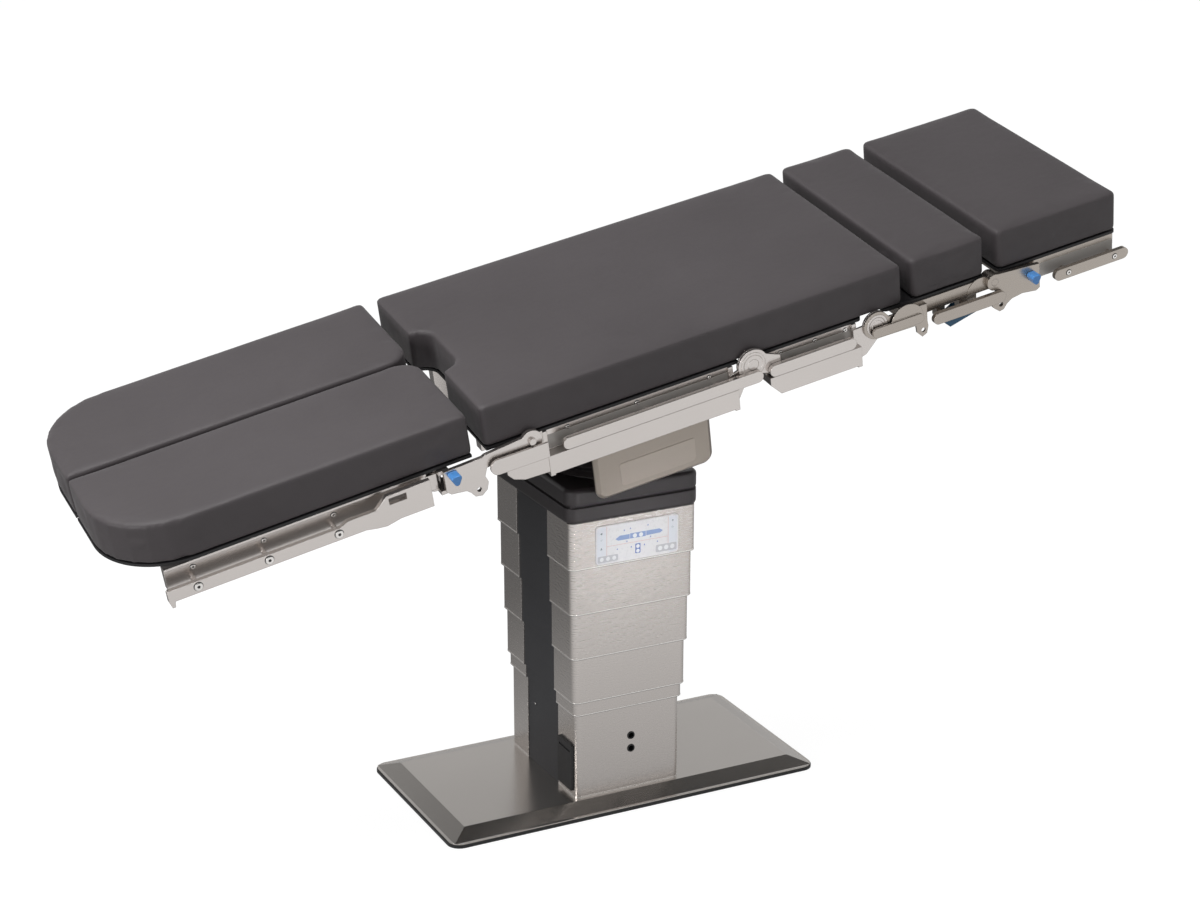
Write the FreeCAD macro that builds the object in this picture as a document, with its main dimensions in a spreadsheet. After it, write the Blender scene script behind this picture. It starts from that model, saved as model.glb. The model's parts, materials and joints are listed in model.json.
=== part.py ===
import FreeCAD, Part
import os
import Sketcher

# Operating table on a telescopic column, in millimetres.
# World frame: +Z up, +X towards the head end, -Y is the patient's left, origin on the floor
# under the column's axis. The table top is stored head up and tilted towards the left.
# Table-top pieces are drawn in the top's own frame: x along the top from the column's axis,
# y across it, and depth counted down from the upper face of the cushions.

SIZES = [
    # Floor plate
    ("base_length", 848), ("base_width", 426), ("base_edge_height", 9), ("base_height", 23),
    ("base_bevel", 44), ("base_corner", 26), ("rim_height", 6), ("rim_inset", 5),
    # Telescopic covers
    ("housing_length", 242.4), ("housing_width", 313.8), ("cover_step", 4.5), ("cover_wall", 2.4),
    ("cover_pitch", 99.5), ("cover_overlap", 22), ("cover_corner", 13), ("channel_half", 74),
    ("channel_recess", 2), ("channel_wall", 1.9), ("housing_visible", 187), ("lowest_strip", 30),
    # Lifting mast
    ("mast_half", 70), ("mast_wall", 6), ("mast_gap", 2), ("mast_outer_length", 200),
    ("mast_one_length", 200), ("mast_two_length", 220), ("mast_top_length", 265),
    ("glide_clearance", 0.3), ("glide_height", 30), ("lift_down", 340), ("mast_floor_gap", 5),
    ("mast_one_share", 0.36), ("mast_two_share", 0.66),
    # Column head
    ("collar_height", 37), ("collar_lip", 6), ("collar_corner", 26), ("collar_round", 9),
    ("collar_groove", 7), ("collar_groove_depth", 8),
    ("panel_length", 188), ("panel_height", 82), ("panel_depth", 2.5), ("panel_corner", 7),
    ("panel_below_collar", 13), ("panel_shift", 7), ("gimbal_height", 819),
    ("trunnion_pin_radius", 14), ("trunnion_clearance", 0.05), ("trunnion_ear", 14),
    ("trunnion_reach", 60), ("trunnion_boss", 28), ("gimbal_block", 64), ("gimbal_block_height", 44),
    ("bellows_length", 254), ("bellows_width", 322), ("bellows_fold", 12), ("bellows_wall", 4),
    # Rest posture of the top
    ("head_up_degrees", 11.467), ("side_tilt_degrees", 10.128), ("leg_droop_degrees", 1.22),
    ("deck_height", 250),
    # Cushions
    ("cushion_half_width", 267.6), ("cushion_thickness", 88), ("cushion_edge", 8),
    ("main_foot_end", -344.8), ("main_head_end", 589), ("upper_foot_end", 606.7),
    ("upper_head_end", 784.2), ("head_foot_end", 810.1), ("head_head_end", 1110.5),
    ("leg_foot_end", -1080), ("leg_head_end", -367.5), ("leg_gap", 3), ("leg_far_round", 160),
    ("leg_near_round", 50), ("bend_half", 78), ("upper_bend_half", 42), ("head_flex", 32),
    ("bend_gap", 0.5), ("cut_half_width", 86), ("cut_depth", 38), ("cut_round", 36),
    # Decks under the cushions
    ("plate_thickness", 6), ("plate_gap", 0.5), ("plate_inset", 4), ("hinge_relief", 25),
    ("plate_corner", 12),
    # Side frames
    ("frame_inner", 240), ("web_outer", 262), ("box_outer", 287), ("box_top", 139),
    ("box_bottom", 181), ("box_wall", 4), ("flange", 10), ("seat_frame_foot", -226),
    ("seat_frame_head", 190), ("back_frame_foot", 262), ("back_frame_head", 472),
    # Accessory rails
    ("rail_height", 25), ("rail_thickness", 10), ("rail_inner", 279), ("rail_top", 112),
    ("seat_rail_foot", -193), ("seat_rail_head", 246), ("back_rail_foot", 262),
    ("back_rail_head", 460), ("upper_rail_foot", 642), ("upper_rail_head", 816),
    ("upper_rail_top", 124), ("head_rail_foot", 936), ("head_rail_head", 1119),
    ("head_rail_top", 121), ("stud_radius", 5),
    # Hinges of the top
    ("back_pivot", 230.5), ("back_pivot_depth", 100), ("back_knuckle", 33),
    ("upper_pivot", 514.8), ("upper_pivot_depth", 109), ("upper_knuckle", 30),
    ("head_pivot", 797), ("head_pivot_depth", 105), ("head_knuckle", 18),
    ("leg_pivot", -253), ("leg_pivot_depth", 97), ("leg_knuckle", 22),
    ("leg_pin_radius", 7), ("cheek_top", 89.5), ("stop_bar_top", 106), ("stop_bar_height", 33),
    ("stop_bar_length", 104),
    ("knuckle_inner", 268.5), ("knuckle_plate", 4.5), ("knuckle_gap", 0.5),
    ("pin_radius", 8), ("pin_clearance", 0.05),
    # Legs
    ("spread_pivot", -446), ("spread_pivot_side", 238), ("spread_pin", 7), ("spread_boss", 14),
    ("spread_ear_top", 96), ("spread_ear_bottom", 148), ("ear_thickness", 8), ("ear_gap", 1),
    ("bracket_inner", 270), ("bracket_thickness", 9), ("leg_rail_foot", -999),
    ("leg_rail_head", -470), ("leg_bar_inner", 242), ("leg_bar_web", 258), ("leg_bar_outer", 264),
    ("leg_bar_bottom", 143), ("leg_bar_lip", 5),
    ("knob_radius", 15), ("knob_height", 22), ("knob_spindle", 5),
    ("leg_knob", -421), ("leg_knob_depth", 110), ("head_knob", 884), ("head_knob_depth", 119),
    ("lever_outer", 249), ("lever_shaft", 6),
    # Tilting carriage
    ("carriage_length", 250), ("carriage_half_width", 190), ("carriage_top", 187),
    ("carriage_plate", 24), ("guide_side", 110), ("guide_width", 24), ("guide_top", 154),
    ("guide_foot", -300), ("runner_place", 80), ("runner_length", 48), ("runner_wall", 10),
    ("slide_clearance", 0.4), ("hood_foot", -113), ("hood_head", 148), ("hood_bottom", 318),
    ("hood_outer", 236), ("hood_depth", 12), ("hood_wall", 3), ("hood_corner", 22),
    ("hood_bevel", 8),
    # Sockets and inlet
    ("socket_radius", 8.5), ("socket_upper", 141), ("socket_lower", 112), ("socket_place", 7),
    ("inlet_width", 66), ("inlet_height", 104), ("inlet_low", 36), ("inlet_side", -114),
    ("inlet_cover", 5),
]

doc = FreeCAD.newDocument("operating_table")
sheet = doc.addObject("Spreadsheet::Sheet", "Sizes")
for row, (alias, value) in enumerate(SIZES, 1):
    sheet.set(f"A{row}", alias)
    sheet.set(f"B{row}", str(value))
    sheet.setAlias(f"B{row}", alias)
doc.recompute()


class Size:
    """A length: its present value, and the expression over the sheet that keeps it up to date."""

    def __init__(self, value, text):
        self.value = float(value)
        self.text = text

    def __add__(self, other):
        other = as_size(other)
        return Size(self.value + other.value, f"({self.text} + {other.text})")

    def __radd__(self, other):
        return as_size(other) + self

    def __sub__(self, other):
        other = as_size(other)
        return Size(self.value - other.value, f"({self.text} - {other.text})")

    def __rsub__(self, other):
        return as_size(other) - self

    def __mul__(self, other):
        other = as_size(other)
        return Size(self.value * other.value, f"({self.text} * {other.text})")

    def __rmul__(self, other):
        return as_size(other) * self

    def __truediv__(self, other):
        other = as_size(other)
        return Size(self.value / other.value, f"({self.text} / {other.text})")

    def __neg__(self):
        return as_size(0) - self


def as_size(value):
    return value if isinstance(value, Size) else Size(value, repr(float(value)))


class Sheet:
    """The sheet's cells by name, as sizes."""

    def __getattr__(self, alias):
        return Size(sheet.get(alias), f"Sizes.{alias}")


s = Sheet()
SIDES = (-1, 1)
SIDE_NAMES = {-1: "left", 1: "right"}
parts = {}


def refresh(feature):
    feature.recompute()
    if "Invalid" in feature.State or "Error" in feature.State:
        raise RuntimeError(f"{feature.Label} failed: {feature.State}")
    return feature


def new_body(label):
    body = doc.addObject("PartDesign::Body", label)
    body.Label = label
    body.AllowCompound = True
    return body


PLANES = {"XY": ("XY_Plane", 1), "XZ": ("XZ_Plane", -1), "YZ": ("YZ_Plane", 1)}


def new_sketch(body, plane, place):
    """A sketch on one of the body's origin planes, moved to place along that plane's axis."""
    role, facing = PLANES[plane]
    sketch = body.newObject("Sketcher::SketchObject", f"{body.Name}_outline")
    datum = [f for f in body.Origin.OriginFeatures if f.Role == role][0]
    sketch.AttachmentSupport = [(datum, "")]
    sketch.MapMode = "FlatFace"
    sketch.setExpression(".AttachmentOffset.Base.z", (as_size(place) * facing).text)
    return sketch


def pin_point(sketch, index, position, point):
    """Ties one point of the sketch to the sheet."""
    for kind, value in zip(("DistanceX", "DistanceY"), point):
        number = sketch.addConstraint(
            Sketcher.Constraint(kind, -1, 1, index, position, as_size(value).value))
        sketch.setExpression(f"Constraints[{number}]", as_size(value).text)


def draw_outline(sketch, points):
    """A closed outline of straight runs."""
    start = sketch.GeometryCount
    vectors = [FreeCAD.Vector(as_size(p[0]).value, as_size(p[1]).value, 0) for p in points]
    for first, second in zip(vectors, vectors[1:] + vectors[:1]):
        sketch.addGeometry(Part.LineSegment(first, second), False)
    count = len(points)
    for step in range(count):
        following = start + (step + 1) % count
        sketch.addConstraint(Sketcher.Constraint("Coincident", start + step, 2, following, 1))
    for step, point in enumerate(points):
        pin_point(sketch, start + step, 1, point)


def draw_circle(sketch, centre, radius):
    middle = FreeCAD.Vector(as_size(centre[0]).value, as_size(centre[1]).value, 0)
    index = sketch.addGeometry(Part.Circle(middle, FreeCAD.Vector(0, 0, 1), as_size(radius).value), False)
    number = sketch.addConstraint(Sketcher.Constraint("Radius", index, as_size(radius).value))
    sketch.setExpression(f"Constraints[{number}]", as_size(radius).text)
    pin_point(sketch, index, 3, centre)


def extrude(body, sketch, low, high, cut):
    refresh(sketch)
    before = body.Shape.Volume if cut else 0
    kind = "PartDesign::Pocket" if cut else "PartDesign::Pad"
    feature = body.newObject(kind, f"{body.Name}_{'cut' if cut else 'pad'}")
    feature.Profile = sketch
    feature.setExpression("Length", (as_size(high) - low).text)
    feature.Reversed = cut
    refresh(feature)
    refresh(body)
    if cut and body.Shape.Volume > before - 1:
        raise RuntimeError(f"{body.Label}: a cut removed nothing")
    return feature


def prism(body, plane, low, high, *outlines, cut=False):
    """Outlines, the first outside and the rest holes, extruded from low to high along the plane's axis."""
    sketch = new_sketch(body, plane, high if plane == "XZ" else low)
    for outline in outlines:
        draw_outline(sketch, outline)
    return extrude(body, sketch, low, high, cut)


def disc(body, plane, low, high, centre, radius, cut=False):
    sketch = new_sketch(body, plane, high if plane == "XZ" else low)
    draw_circle(sketch, centre, radius)
    return extrude(body, sketch, low, high, cut)


def box(body, x, y, z, cut=False):
    """A block between two x, two y and two z values."""
    return prism(body, "XY", z[0], z[1], rectangle(x, y), cut=cut)


def rectangle(u, v):
    return [(u[0], v[0]), (u[1], v[0]), (u[1], v[1]), (u[0], v[1])]


def mirrored_y(side, inner, outer):
    """The two y values, low first, of a layer between inner and outer on one side."""
    inner, outer = as_size(inner), as_size(outer)
    return (inner, outer) if side > 0 else (-outer, -inner)


def edges_where(body, test):
    return [f"Edge{n}" for n, edge in enumerate(body.Shape.Edges, 1) if test(edge)]


def round_edges(body, radius, test, kind="PartDesign::Fillet"):
    names = edges_where(body, test)
    if not names:
        raise RuntimeError(f"{body.Label}: no edge to round")
    base = body.Tip
    feature = body.newObject(kind, f"{body.Name}_round")
    feature.Base = (base, names)
    feature.setExpression("Radius" if kind.endswith("Fillet") else "Size", as_size(radius).text)
    refresh(feature)
    body.Tip = feature
    refresh(body)
    return feature


def runs_along(edge, axis):
    """Whether a straight edge lies along the axis: 0 for x, 1 for y, 2 for z."""
    if edge.Curve.TypeId != "Part::GeomLine":
        return False
    way = edge.Vertexes[0].Point.sub(edge.Vertexes[-1].Point)
    return abs(abs(way[axis]) - way.Length) < 1e-6


def middle(edge):
    return edge.CenterOfMass


def near(value, target, slack=0.05):
    return abs(value - as_size(target).value) < slack


def keep(label, shape_object):
    shape_object.Label = label
    parts[label] = shape_object
    return shape_object


# Floor plate and fixed housing

def build_base():
    rim = new_body("base_rim")
    long, wide = s.base_length / 2 - s.rim_inset, s.base_width / 2 - s.rim_inset
    box(rim, (-long, long), (-wide, wide), (0, s.rim_height))
    round_edges(rim, s.base_corner - s.rim_inset, lambda e: runs_along(e, 2))
    keep("base_rim", rim)

    plate = new_body("base_plate")
    long, wide = s.base_length / 2, s.base_width / 2
    box(plate, (-long, long), (-wide, wide), (s.rim_height, s.base_edge_height))
    round_edges(plate, s.base_corner, lambda e: runs_along(e, 2))
    foot = new_sketch(plate, "XY", s.base_edge_height)
    draw_outline(foot, rectangle((-long + 6, long - 6), (-wide + 6, wide - 6)))
    refresh(foot)
    crown = new_sketch(plate, "XY", s.base_height)
    draw_outline(crown, rectangle((s.base_bevel - long, long - s.base_bevel),
                                  (s.base_bevel - wide, wide - s.base_bevel)))
    refresh(crown)
    bevel = plate.newObject("PartDesign::AdditiveLoft", "base_bevel")
    bevel.Profile = foot
    bevel.Sections = [(crown, [""])]
    refresh(bevel)
    refresh(plate)
    keep("base_plate", plate)


def cover_half(number):
    """Half length and half width of one cover; 6 is the fixed housing, 1 the topmost cover."""
    grown = s.cover_step * (6 - number)
    return s.housing_length / 2 + grown, s.housing_width / 2 + grown


def cover_heights(number):
    """Lower and upper edge of one cover at rest."""
    collar = s.base_height + s.housing_visible + s.lowest_strip + s.cover_pitch * 4
    if number == 6:
        return s.base_height, s.base_height + s.housing_visible + s.cover_overlap
    if number == 5:
        low = s.base_height + s.housing_visible
        return low, low + s.cover_pitch + s.cover_overlap
    low = collar - s.cover_pitch * number
    top = low + s.cover_pitch if number == 1 else low + s.cover_pitch + s.cover_overlap
    return low, top


def cover_shells(label, number):
    """The front and rear shells of one cover: three walls each, with rounded corners."""
    long, wide = cover_half(number)
    low, high = cover_heights(number)
    wall, edge = s.cover_wall, s.channel_half
    body = new_body(label)
    for side in SIDES:
        prism(body, "XY", low, high, [
            (-long, edge * side), (-long, wide * side), (long, wide * side), (long, edge * side),
            (long - wall, edge * side), (long - wall, (wide - wall) * side),
            (wall - long, (wide - wall) * side), (wall - long, edge * side)])
    inner = (long - wall).value
    corner = (wide - wall).value

    def outside(edge_):
        spot = middle(edge_)
        return runs_along(edge_, 2) and near(abs(spot.x), long) and near(abs(spot.y), wide)

    def inside(edge_):
        spot = middle(edge_)
        return runs_along(edge_, 2) and near(abs(spot.x), inner) and near(abs(spot.y), corner)

    round_edges(body, s.cover_corner, outside)
    round_edges(body, s.cover_corner - wall, inside)
    return body


def cover_channels(label, number):
    """The two dark strips that close a cover between its shells."""
    long, _ = cover_half(number)
    low, high = cover_heights(number)
    body = new_body(label)
    outer = long - s.channel_recess
    for side in SIDES:
        x = mirrored_y(side, outer - s.channel_wall, outer)
        box(body, x, (-s.channel_half, s.channel_half), (low, high))
    return keep(label, body)


def build_housing():
    shells = cover_shells("housing_shells", 6)
    long, wide = cover_half(6)
    for height in (s.socket_upper, s.socket_lower):
        disc(shells, "XZ", -wide - 1, s.cover_wall - wide, (s.socket_place, height),
             s.socket_radius, cut=True)
    half = s.inlet_width / 2
    box(shells, (-long - 1, s.cover_wall - long), (s.inlet_side - half + 6, s.inlet_side + half - 6),
        (s.inlet_low + 6, s.inlet_low + s.inlet_height - 6), cut=True)
    keep("housing_shells", shells)
    cover_channels("housing_channels", 6)

    sockets = new_body("service_sockets")
    for height in (s.socket_upper, s.socket_lower):
        centre = (s.socket_place, height)
        disc(sockets, "XZ", s.cover_wall - wide, s.cover_wall - wide + 18, centre, s.socket_radius + 2)
        disc(sockets, "XZ", -wide - 1.5, s.cover_wall - wide, centre, s.socket_radius - 0.3)
        disc(sockets, "XZ", -wide - 1.5, s.cover_wall - wide + 12, centre, s.socket_radius - 2.5, cut=True)
    face = -long + s.cover_wall
    inlet_y = (s.inlet_side - half + 10, s.inlet_side + half - 10)
    inlet_z = (s.inlet_low + 34, s.inlet_low + s.inlet_height - 34)
    box(sockets, (face, face + 3), (inlet_y[0] - 6.5, inlet_y[1] + 6.5),
        (s.inlet_low + 3, s.inlet_low + s.inlet_height - 3))
    box(sockets, (face, face + 26), inlet_y, inlet_z)
    box(sockets, (face, face + 20), (inlet_y[0] + 6, inlet_y[1] - 6), (inlet_z[0] + 6, inlet_z[1] - 6), cut=True)
    for offset in (-10, 0, 10):
        box(sockets, (face + 6, face + 20), (s.inlet_side + offset - 1, s.inlet_side + offset + 1),
            (s.inlet_low + s.inlet_height / 2 - 3, s.inlet_low + s.inlet_height / 2 + 3))
    keep("service_sockets", sockets)

    cover = new_body("inlet_cover")
    outer = -long - 0.4
    box(cover, (outer - s.inlet_cover, outer), (s.inlet_side - half, s.inlet_side + half),
        (s.inlet_low, s.inlet_low + s.inlet_height))
    round_edges(cover, 5, lambda e: runs_along(e, 0))
    box(cover, (outer - s.inlet_cover, outer - s.inlet_cover + 2),
        (s.inlet_side - half + 8, s.inlet_side + half - 8),
        (s.inlet_low + s.inlet_height - 18, s.inlet_low + s.inlet_height - 13), cut=True)
    hinge = (outer - s.inlet_cover / 2, s.inlet_side + half)
    disc(cover, "XY", s.inlet_low + 6, s.inlet_low + s.inlet_height - 6, hinge, s.inlet_cover / 2)
    keep("inlet_cover", cover)


# Lifting mast: four square tubes, one inside the next

def mast_tube(label, number, low, length):
    half = s.mast_half - (s.mast_wall + s.mast_gap) * number
    body = new_body(label)
    outer, inner = half, half - s.mast_wall
    prism(body, "XY", low, low + length, rectangle((-outer, outer), (-outer, outer)),
          rectangle((-inner, inner), (-inner, inner)))
    if number:
        pad = outer + s.mast_gap - s.glide_clearance
        prism(body, "XY", low, low + s.glide_height, rectangle((-pad, pad), (-pad, pad)),
              rectangle((-inner, inner), (-inner, inner)))
    return keep(label, body)


def build_mast():
    floor = s.base_height
    low = floor + s.mast_floor_gap
    mast_tube("mast_outer", 0, floor, s.mast_outer_length)
    mast_tube("mast_stage_1", 1, low + s.mast_one_share * s.lift_down, s.mast_one_length)
    mast_tube("mast_stage_2", 2, low + s.mast_two_share * s.lift_down, s.mast_two_length)
    collar = cover_heights(1)[1]
    mast_tube("mast_stage_3", 3, collar - s.mast_top_length, s.mast_top_length)


# Column head: topmost cover, collar, control panel, trunnion and bellows

def build_column_head():
    keep("cover_1_shells", cover_shells("cover_1_shells", 1))
    cover_channels("cover_1_channels", 1)
    long, wide = cover_half(1)
    collar = cover_heights(1)[1]

    plates = new_body("collar_plates")
    x, y = long + s.collar_lip, wide + s.collar_lip
    for level in (0, 1):
        low = collar + s.collar_height * level
        box(plates, (-x, x), (-y, y), (low, low + s.collar_height - level))
    round_edges(plates, s.collar_corner, lambda e: runs_along(e, 2))
    top = collar + s.collar_height * 2 - 1

    def rims(edge):
        box_ = edge.BoundBox
        flat = box_.ZMax - box_.ZMin < 1e-6
        return flat and (near(box_.ZMin, top) or near(box_.ZMin, collar))

    round_edges(plates, s.collar_round, rims)
    groove, deep = collar + s.collar_height, s.collar_groove_depth
    prism(plates, "XY", groove - s.collar_groove / 2, groove + s.collar_groove / 2,
          rectangle((-x - 1, x + 1), (-y - 1, y + 1)),
          rectangle((deep - x, x - deep), (deep - y, y - deep)), cut=True)
    keep("collar_plates", plates)

    panel = new_body("control_panel")
    half = s.panel_length / 2
    upper = collar - s.panel_below_collar
    box(panel, (s.panel_shift - half, s.panel_shift + half), (-wide - s.panel_depth, -wide),
        (upper - s.panel_height, upper))
    round_edges(panel, s.panel_corner, lambda e: runs_along(e, 1))
    keep("control_panel", panel)

    trunnion = new_body("trunnion_bracket")
    reach, ear, boss = s.trunnion_reach, s.trunnion_ear, s.trunnion_boss
    box(trunnion, (-reach - ear, reach + ear), (-60, 60), (top, top + 12))
    for side in SIDES:
        x = mirrored_y(side, reach, reach + ear)
        prism(trunnion, "YZ", x[0], x[1], [
            (-46, top + 12), (46, top + 12), (boss, s.gimbal_height), (-boss, s.gimbal_height)])
        disc(trunnion, "YZ", x[0], x[1], (0, s.gimbal_height), boss)
        disc(trunnion, "YZ", x[0] - 1, x[1] + 1, (0, s.gimbal_height),
             s.trunnion_pin_radius + s.trunnion_clearance, cut=True)
    keep("trunnion_bracket", trunnion)


def ellipse_wire(half_x, half_y, frame):
    """An oval ring, in the given place."""
    if half_x > half_y:
        oval = Part.Ellipse(FreeCAD.Vector(), half_x, half_y).toShape()
    else:
        oval = Part.Ellipse(FreeCAD.Vector(0, half_y, 0), FreeCAD.Vector(half_x, 0, 0),
                            FreeCAD.Vector()).toShape()
    wire = Part.Wire([oval])
    wire.Placement = frame
    return wire


def build_bellows():
    """Oval bellows that bend from the level collar to the tilted carriage."""
    start = (cover_heights(1)[1] + s.collar_height * 2 - 1).value
    top = table_frame()
    carriage_under = -(s.carriage_top + s.carriage_plate).value
    end = top.multVec(FreeCAD.Vector(0, 0, carriage_under))
    half_x, half_y = s.bellows_length.value / 2, s.bellows_width.value / 2
    folds, fold, wall = 5, s.bellows_fold.value, s.bellows_wall.value
    first = FreeCAD.Placement(FreeCAD.Vector(0, 0, start), FreeCAD.Rotation())
    last = FreeCAD.Placement(end, top.Rotation)

    def ring(share, inset):
        base = first.Base * (1 - share) + last.Base * share
        turn = first.Rotation.slerp(last.Rotation, share)
        taper = 1 - 0.10 * share
        return ellipse_wire((half_x - inset) * taper, (half_y - inset) * taper,
                            FreeCAD.Placement(base, turn))

    steps = 2 * folds
    outer = [ring(0.003 + 0.994 * n / steps, fold * (n % 2)) for n in range(steps + 1)]
    skin = Part.makeLoft(outer, True, True)
    bore = Part.makeLoft([ring(-0.02, fold + wall), ring(1.02, fold + wall)], True, True)
    body = doc.addObject("Part::Feature", "bellows")
    body.Shape = skin.cut(bore)
    keep("bellows", body)


def head_frame():
    """The tilted frame at the two tilt axes."""
    lateral = FreeCAD.Rotation(FreeCAD.Vector(1, 0, 0), s.side_tilt_degrees.value)
    pitch = FreeCAD.Rotation(FreeCAD.Vector(0, 1, 0), -s.head_up_degrees.value)
    return FreeCAD.Placement(FreeCAD.Vector(0, 0, s.gimbal_height.value), lateral.multiply(pitch))


def table_frame():
    """The top's own frame: its zero height is the upper face of the cushions."""
    lift = FreeCAD.Placement(FreeCAD.Vector(0, 0, s.deck_height.value), FreeCAD.Rotation())
    return head_frame().multiply(lift)


def leg_frame():
    """The top's frame turned about the leg hinges, which let the legs hang a little."""
    pivot = FreeCAD.Vector(s.leg_pivot.value, 0, -s.leg_pivot_depth.value)
    turn = FreeCAD.Rotation(FreeCAD.Vector(0, 1, 0), -s.leg_droop_degrees.value)
    about = FreeCAD.Placement(pivot, turn).multiply(FreeCAD.Placement(-pivot, FreeCAD.Rotation()))
    return table_frame().multiply(about)


# Gimbal and sliding carriage

def build_gimbal():
    """The cross between the two tilt axes, drawn about the tilt centre."""
    body = new_body("gimbal_cross")
    half = s.gimbal_block / 2
    tall = s.gimbal_block_height / 2
    box(body, (-half, half), (-half, half), (-tall, tall))
    round_edges(body, 12, lambda e: runs_along(e, 2))
    reach = s.trunnion_reach + s.trunnion_ear
    disc(body, "YZ", -reach, reach, (0, 0), s.trunnion_pin_radius)
    disc(body, "XZ", -reach, reach, (0, 0), s.trunnion_pin_radius)
    keep("gimbal_cross", body)


def build_carriage():
    body = new_body("tilt_carriage")
    half, wide = s.carriage_length / 2, s.carriage_half_width
    top, under = -s.carriage_top, -s.carriage_top - s.carriage_plate
    tilt = -s.deck_height
    box(body, (-half, half), (-wide, wide), (under, top))
    round_edges(body, 18, lambda e: runs_along(e, 2))
    reach, ear, boss = s.trunnion_reach, s.trunnion_ear, s.trunnion_boss
    for side in SIDES:
        window = mirrored_y(side, reach - 24, reach + ear + 6)
        box(body, window, (-boss - 8, boss + 8), (under - 1, top + 1), cut=True)
    for side in SIDES:
        y = mirrored_y(side, reach, reach + ear)
        prism(body, "XZ", y[0], y[1], [(-50, under), (-boss, tilt), (boss, tilt), (50, under)])
        disc(body, "XZ", y[0], y[1], (0, tilt), boss)
        disc(body, "XZ", y[0] - 1, y[1] + 1, (0, tilt),
             s.trunnion_pin_radius + s.trunnion_clearance, cut=True)
        hood = mirrored_y(side, wide - 2, s.hood_outer - s.hood_wall)
        for place in (-70, 90):
            box(body, (place - 18, place + 18), hood, (under, under + 8))
    clear, wall, width = s.slide_clearance, s.runner_wall, s.guide_width / 2
    for side in SIDES:
        for place in (-s.runner_place, s.runner_place):
            x = (place - s.runner_length / 2, place + s.runner_length / 2)
            for flank in SIDES:
                centre = s.guide_side * side
                y = mirrored_y(flank, width + clear, width + clear + wall)
                box(body, x, (centre + y[0], centre + y[1]), (top, -s.guide_top - 12))
    keep("tilt_carriage", body)

    hoods = new_body("drive_hoods")
    x0, x1, low, high = s.hood_foot, s.hood_head, -s.hood_bottom, -s.carriage_top
    for side in SIDES:
        y = mirrored_y(side, s.hood_outer - s.hood_depth, s.hood_outer)
        box(hoods, (x0, x1), y, (low, high))
    round_edges(hoods, s.hood_corner, lambda e: runs_along(e, 1) and near(middle(e).z, low))
    face = s.hood_outer.value

    def front(edge):
        box_ = edge.BoundBox
        on_face = near(abs(box_.YMin), face) and near(abs(box_.YMax), face)
        return on_face and box_.ZMin < high.value - 5

    round_edges(hoods, s.hood_bevel, front, "PartDesign::Chamfer")
    inset = s.hood_bevel + s.hood_wall
    for side in SIDES:
        y = mirrored_y(side, s.hood_outer - s.hood_depth - 1, s.hood_outer - s.hood_wall)
        box(hoods, (x0 + inset, x1 - inset), y, (low + inset, high + 1), cut=True)
    keep("drive_hoods", hoods)


# Cushions: closed solids of the pads' outer size

def pad_edges(body):
    """Rounds the two long upper rims of a pad."""
    def rims(edge):
        spot = middle(edge)
        return spot.z > -0.01 and near(abs(spot.y), s.cushion_half_width, 0.5)

    round_edges(body, s.cushion_edge, rims)


def cushion_block(label, foot, head):
    """A straight stretch of cushion, full width, between two places along the top."""
    body = new_body(label)
    wide = s.cushion_half_width
    box(body, (foot, head), (-wide, wide), (-s.cushion_thickness, 0))
    pad_edges(body)
    keep(label, body)


def build_cushions():
    bend_foot, bend_head = s.back_pivot - s.bend_half, s.back_pivot + s.bend_half
    seat = new_body("main_cushion_seat")
    wide, foot = s.cushion_half_width, s.main_foot_end
    box(seat, (foot, bend_foot), (-wide, wide), (-s.cushion_thickness, 0))
    box(seat, (foot - 1, foot + s.cut_depth), (-s.cut_half_width, s.cut_half_width),
        (-s.cushion_thickness - 1, 1), cut=True)
    deep = (foot + s.cut_depth).value
    round_edges(seat, s.cut_round, lambda e: runs_along(e, 2) and near(middle(e).x, deep))
    pad_edges(seat)
    keep("main_cushion_seat", seat)

    upper_foot = s.upper_pivot - s.upper_bend_half
    cushion_block("main_cushion_back", bend_head, upper_foot)
    bends = new_body("main_cushion_bends")
    for low, high in ((bend_foot, bend_head), (upper_foot, s.main_head_end)):
        box(bends, (low + s.bend_gap, high - s.bend_gap), (-wide, wide), (-s.cushion_thickness, 0))
    keep("main_cushion_bends", bends)

    flex = s.upper_head_end - s.head_flex
    cushion_block("upper_cushion", s.upper_foot_end, flex)
    cushion_block("upper_cushion_flex", flex + s.bend_gap, s.upper_head_end)
    cushion_block("head_cushion", s.head_foot_end, s.head_head_end)


def leg_outline(body, side, inset, low, high):
    """One leg's plan shape: a large round at the foot, a small one at the crotch."""
    inner, outer = s.leg_gap / 2 + inset, s.cushion_half_width - inset
    y = mirrored_y(side, inner, outer)
    foot, head = s.leg_foot_end + inset, s.leg_head_end - inset
    box(body, (foot, head), y, (low, high))

    def far(edge):
        spot = middle(edge)
        return runs_along(edge, 2) and near(spot.x, foot) and near(abs(spot.y), outer)

    def crotch(edge):
        spot = middle(edge)
        return runs_along(edge, 2) and near(spot.x, head) and near(abs(spot.y), inner)

    round_edges(body, s.leg_far_round - inset, far)
    round_edges(body, s.leg_near_round - inset, crotch)


def build_leg_cushion(side):
    label = f"leg_cushion_{SIDE_NAMES[side]}"
    body = new_body(label)
    leg_outline(body, side, 0, -s.cushion_thickness, 0)
    round_edges(body, s.cushion_edge, lambda e: middle(e).z > -0.01)
    return keep(label, body)


# Decks: thin dark plates under the cushions

def deck_levels():
    top = -(s.cushion_thickness + s.plate_gap)
    return top - s.plate_thickness, top


def deck(label, foot, head, half_width):
    body = new_body(label)
    box(body, (foot, head), (-half_width, half_width), deck_levels())
    round_edges(body, s.plate_corner, lambda e: runs_along(e, 2))
    return keep(label, body)


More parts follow.
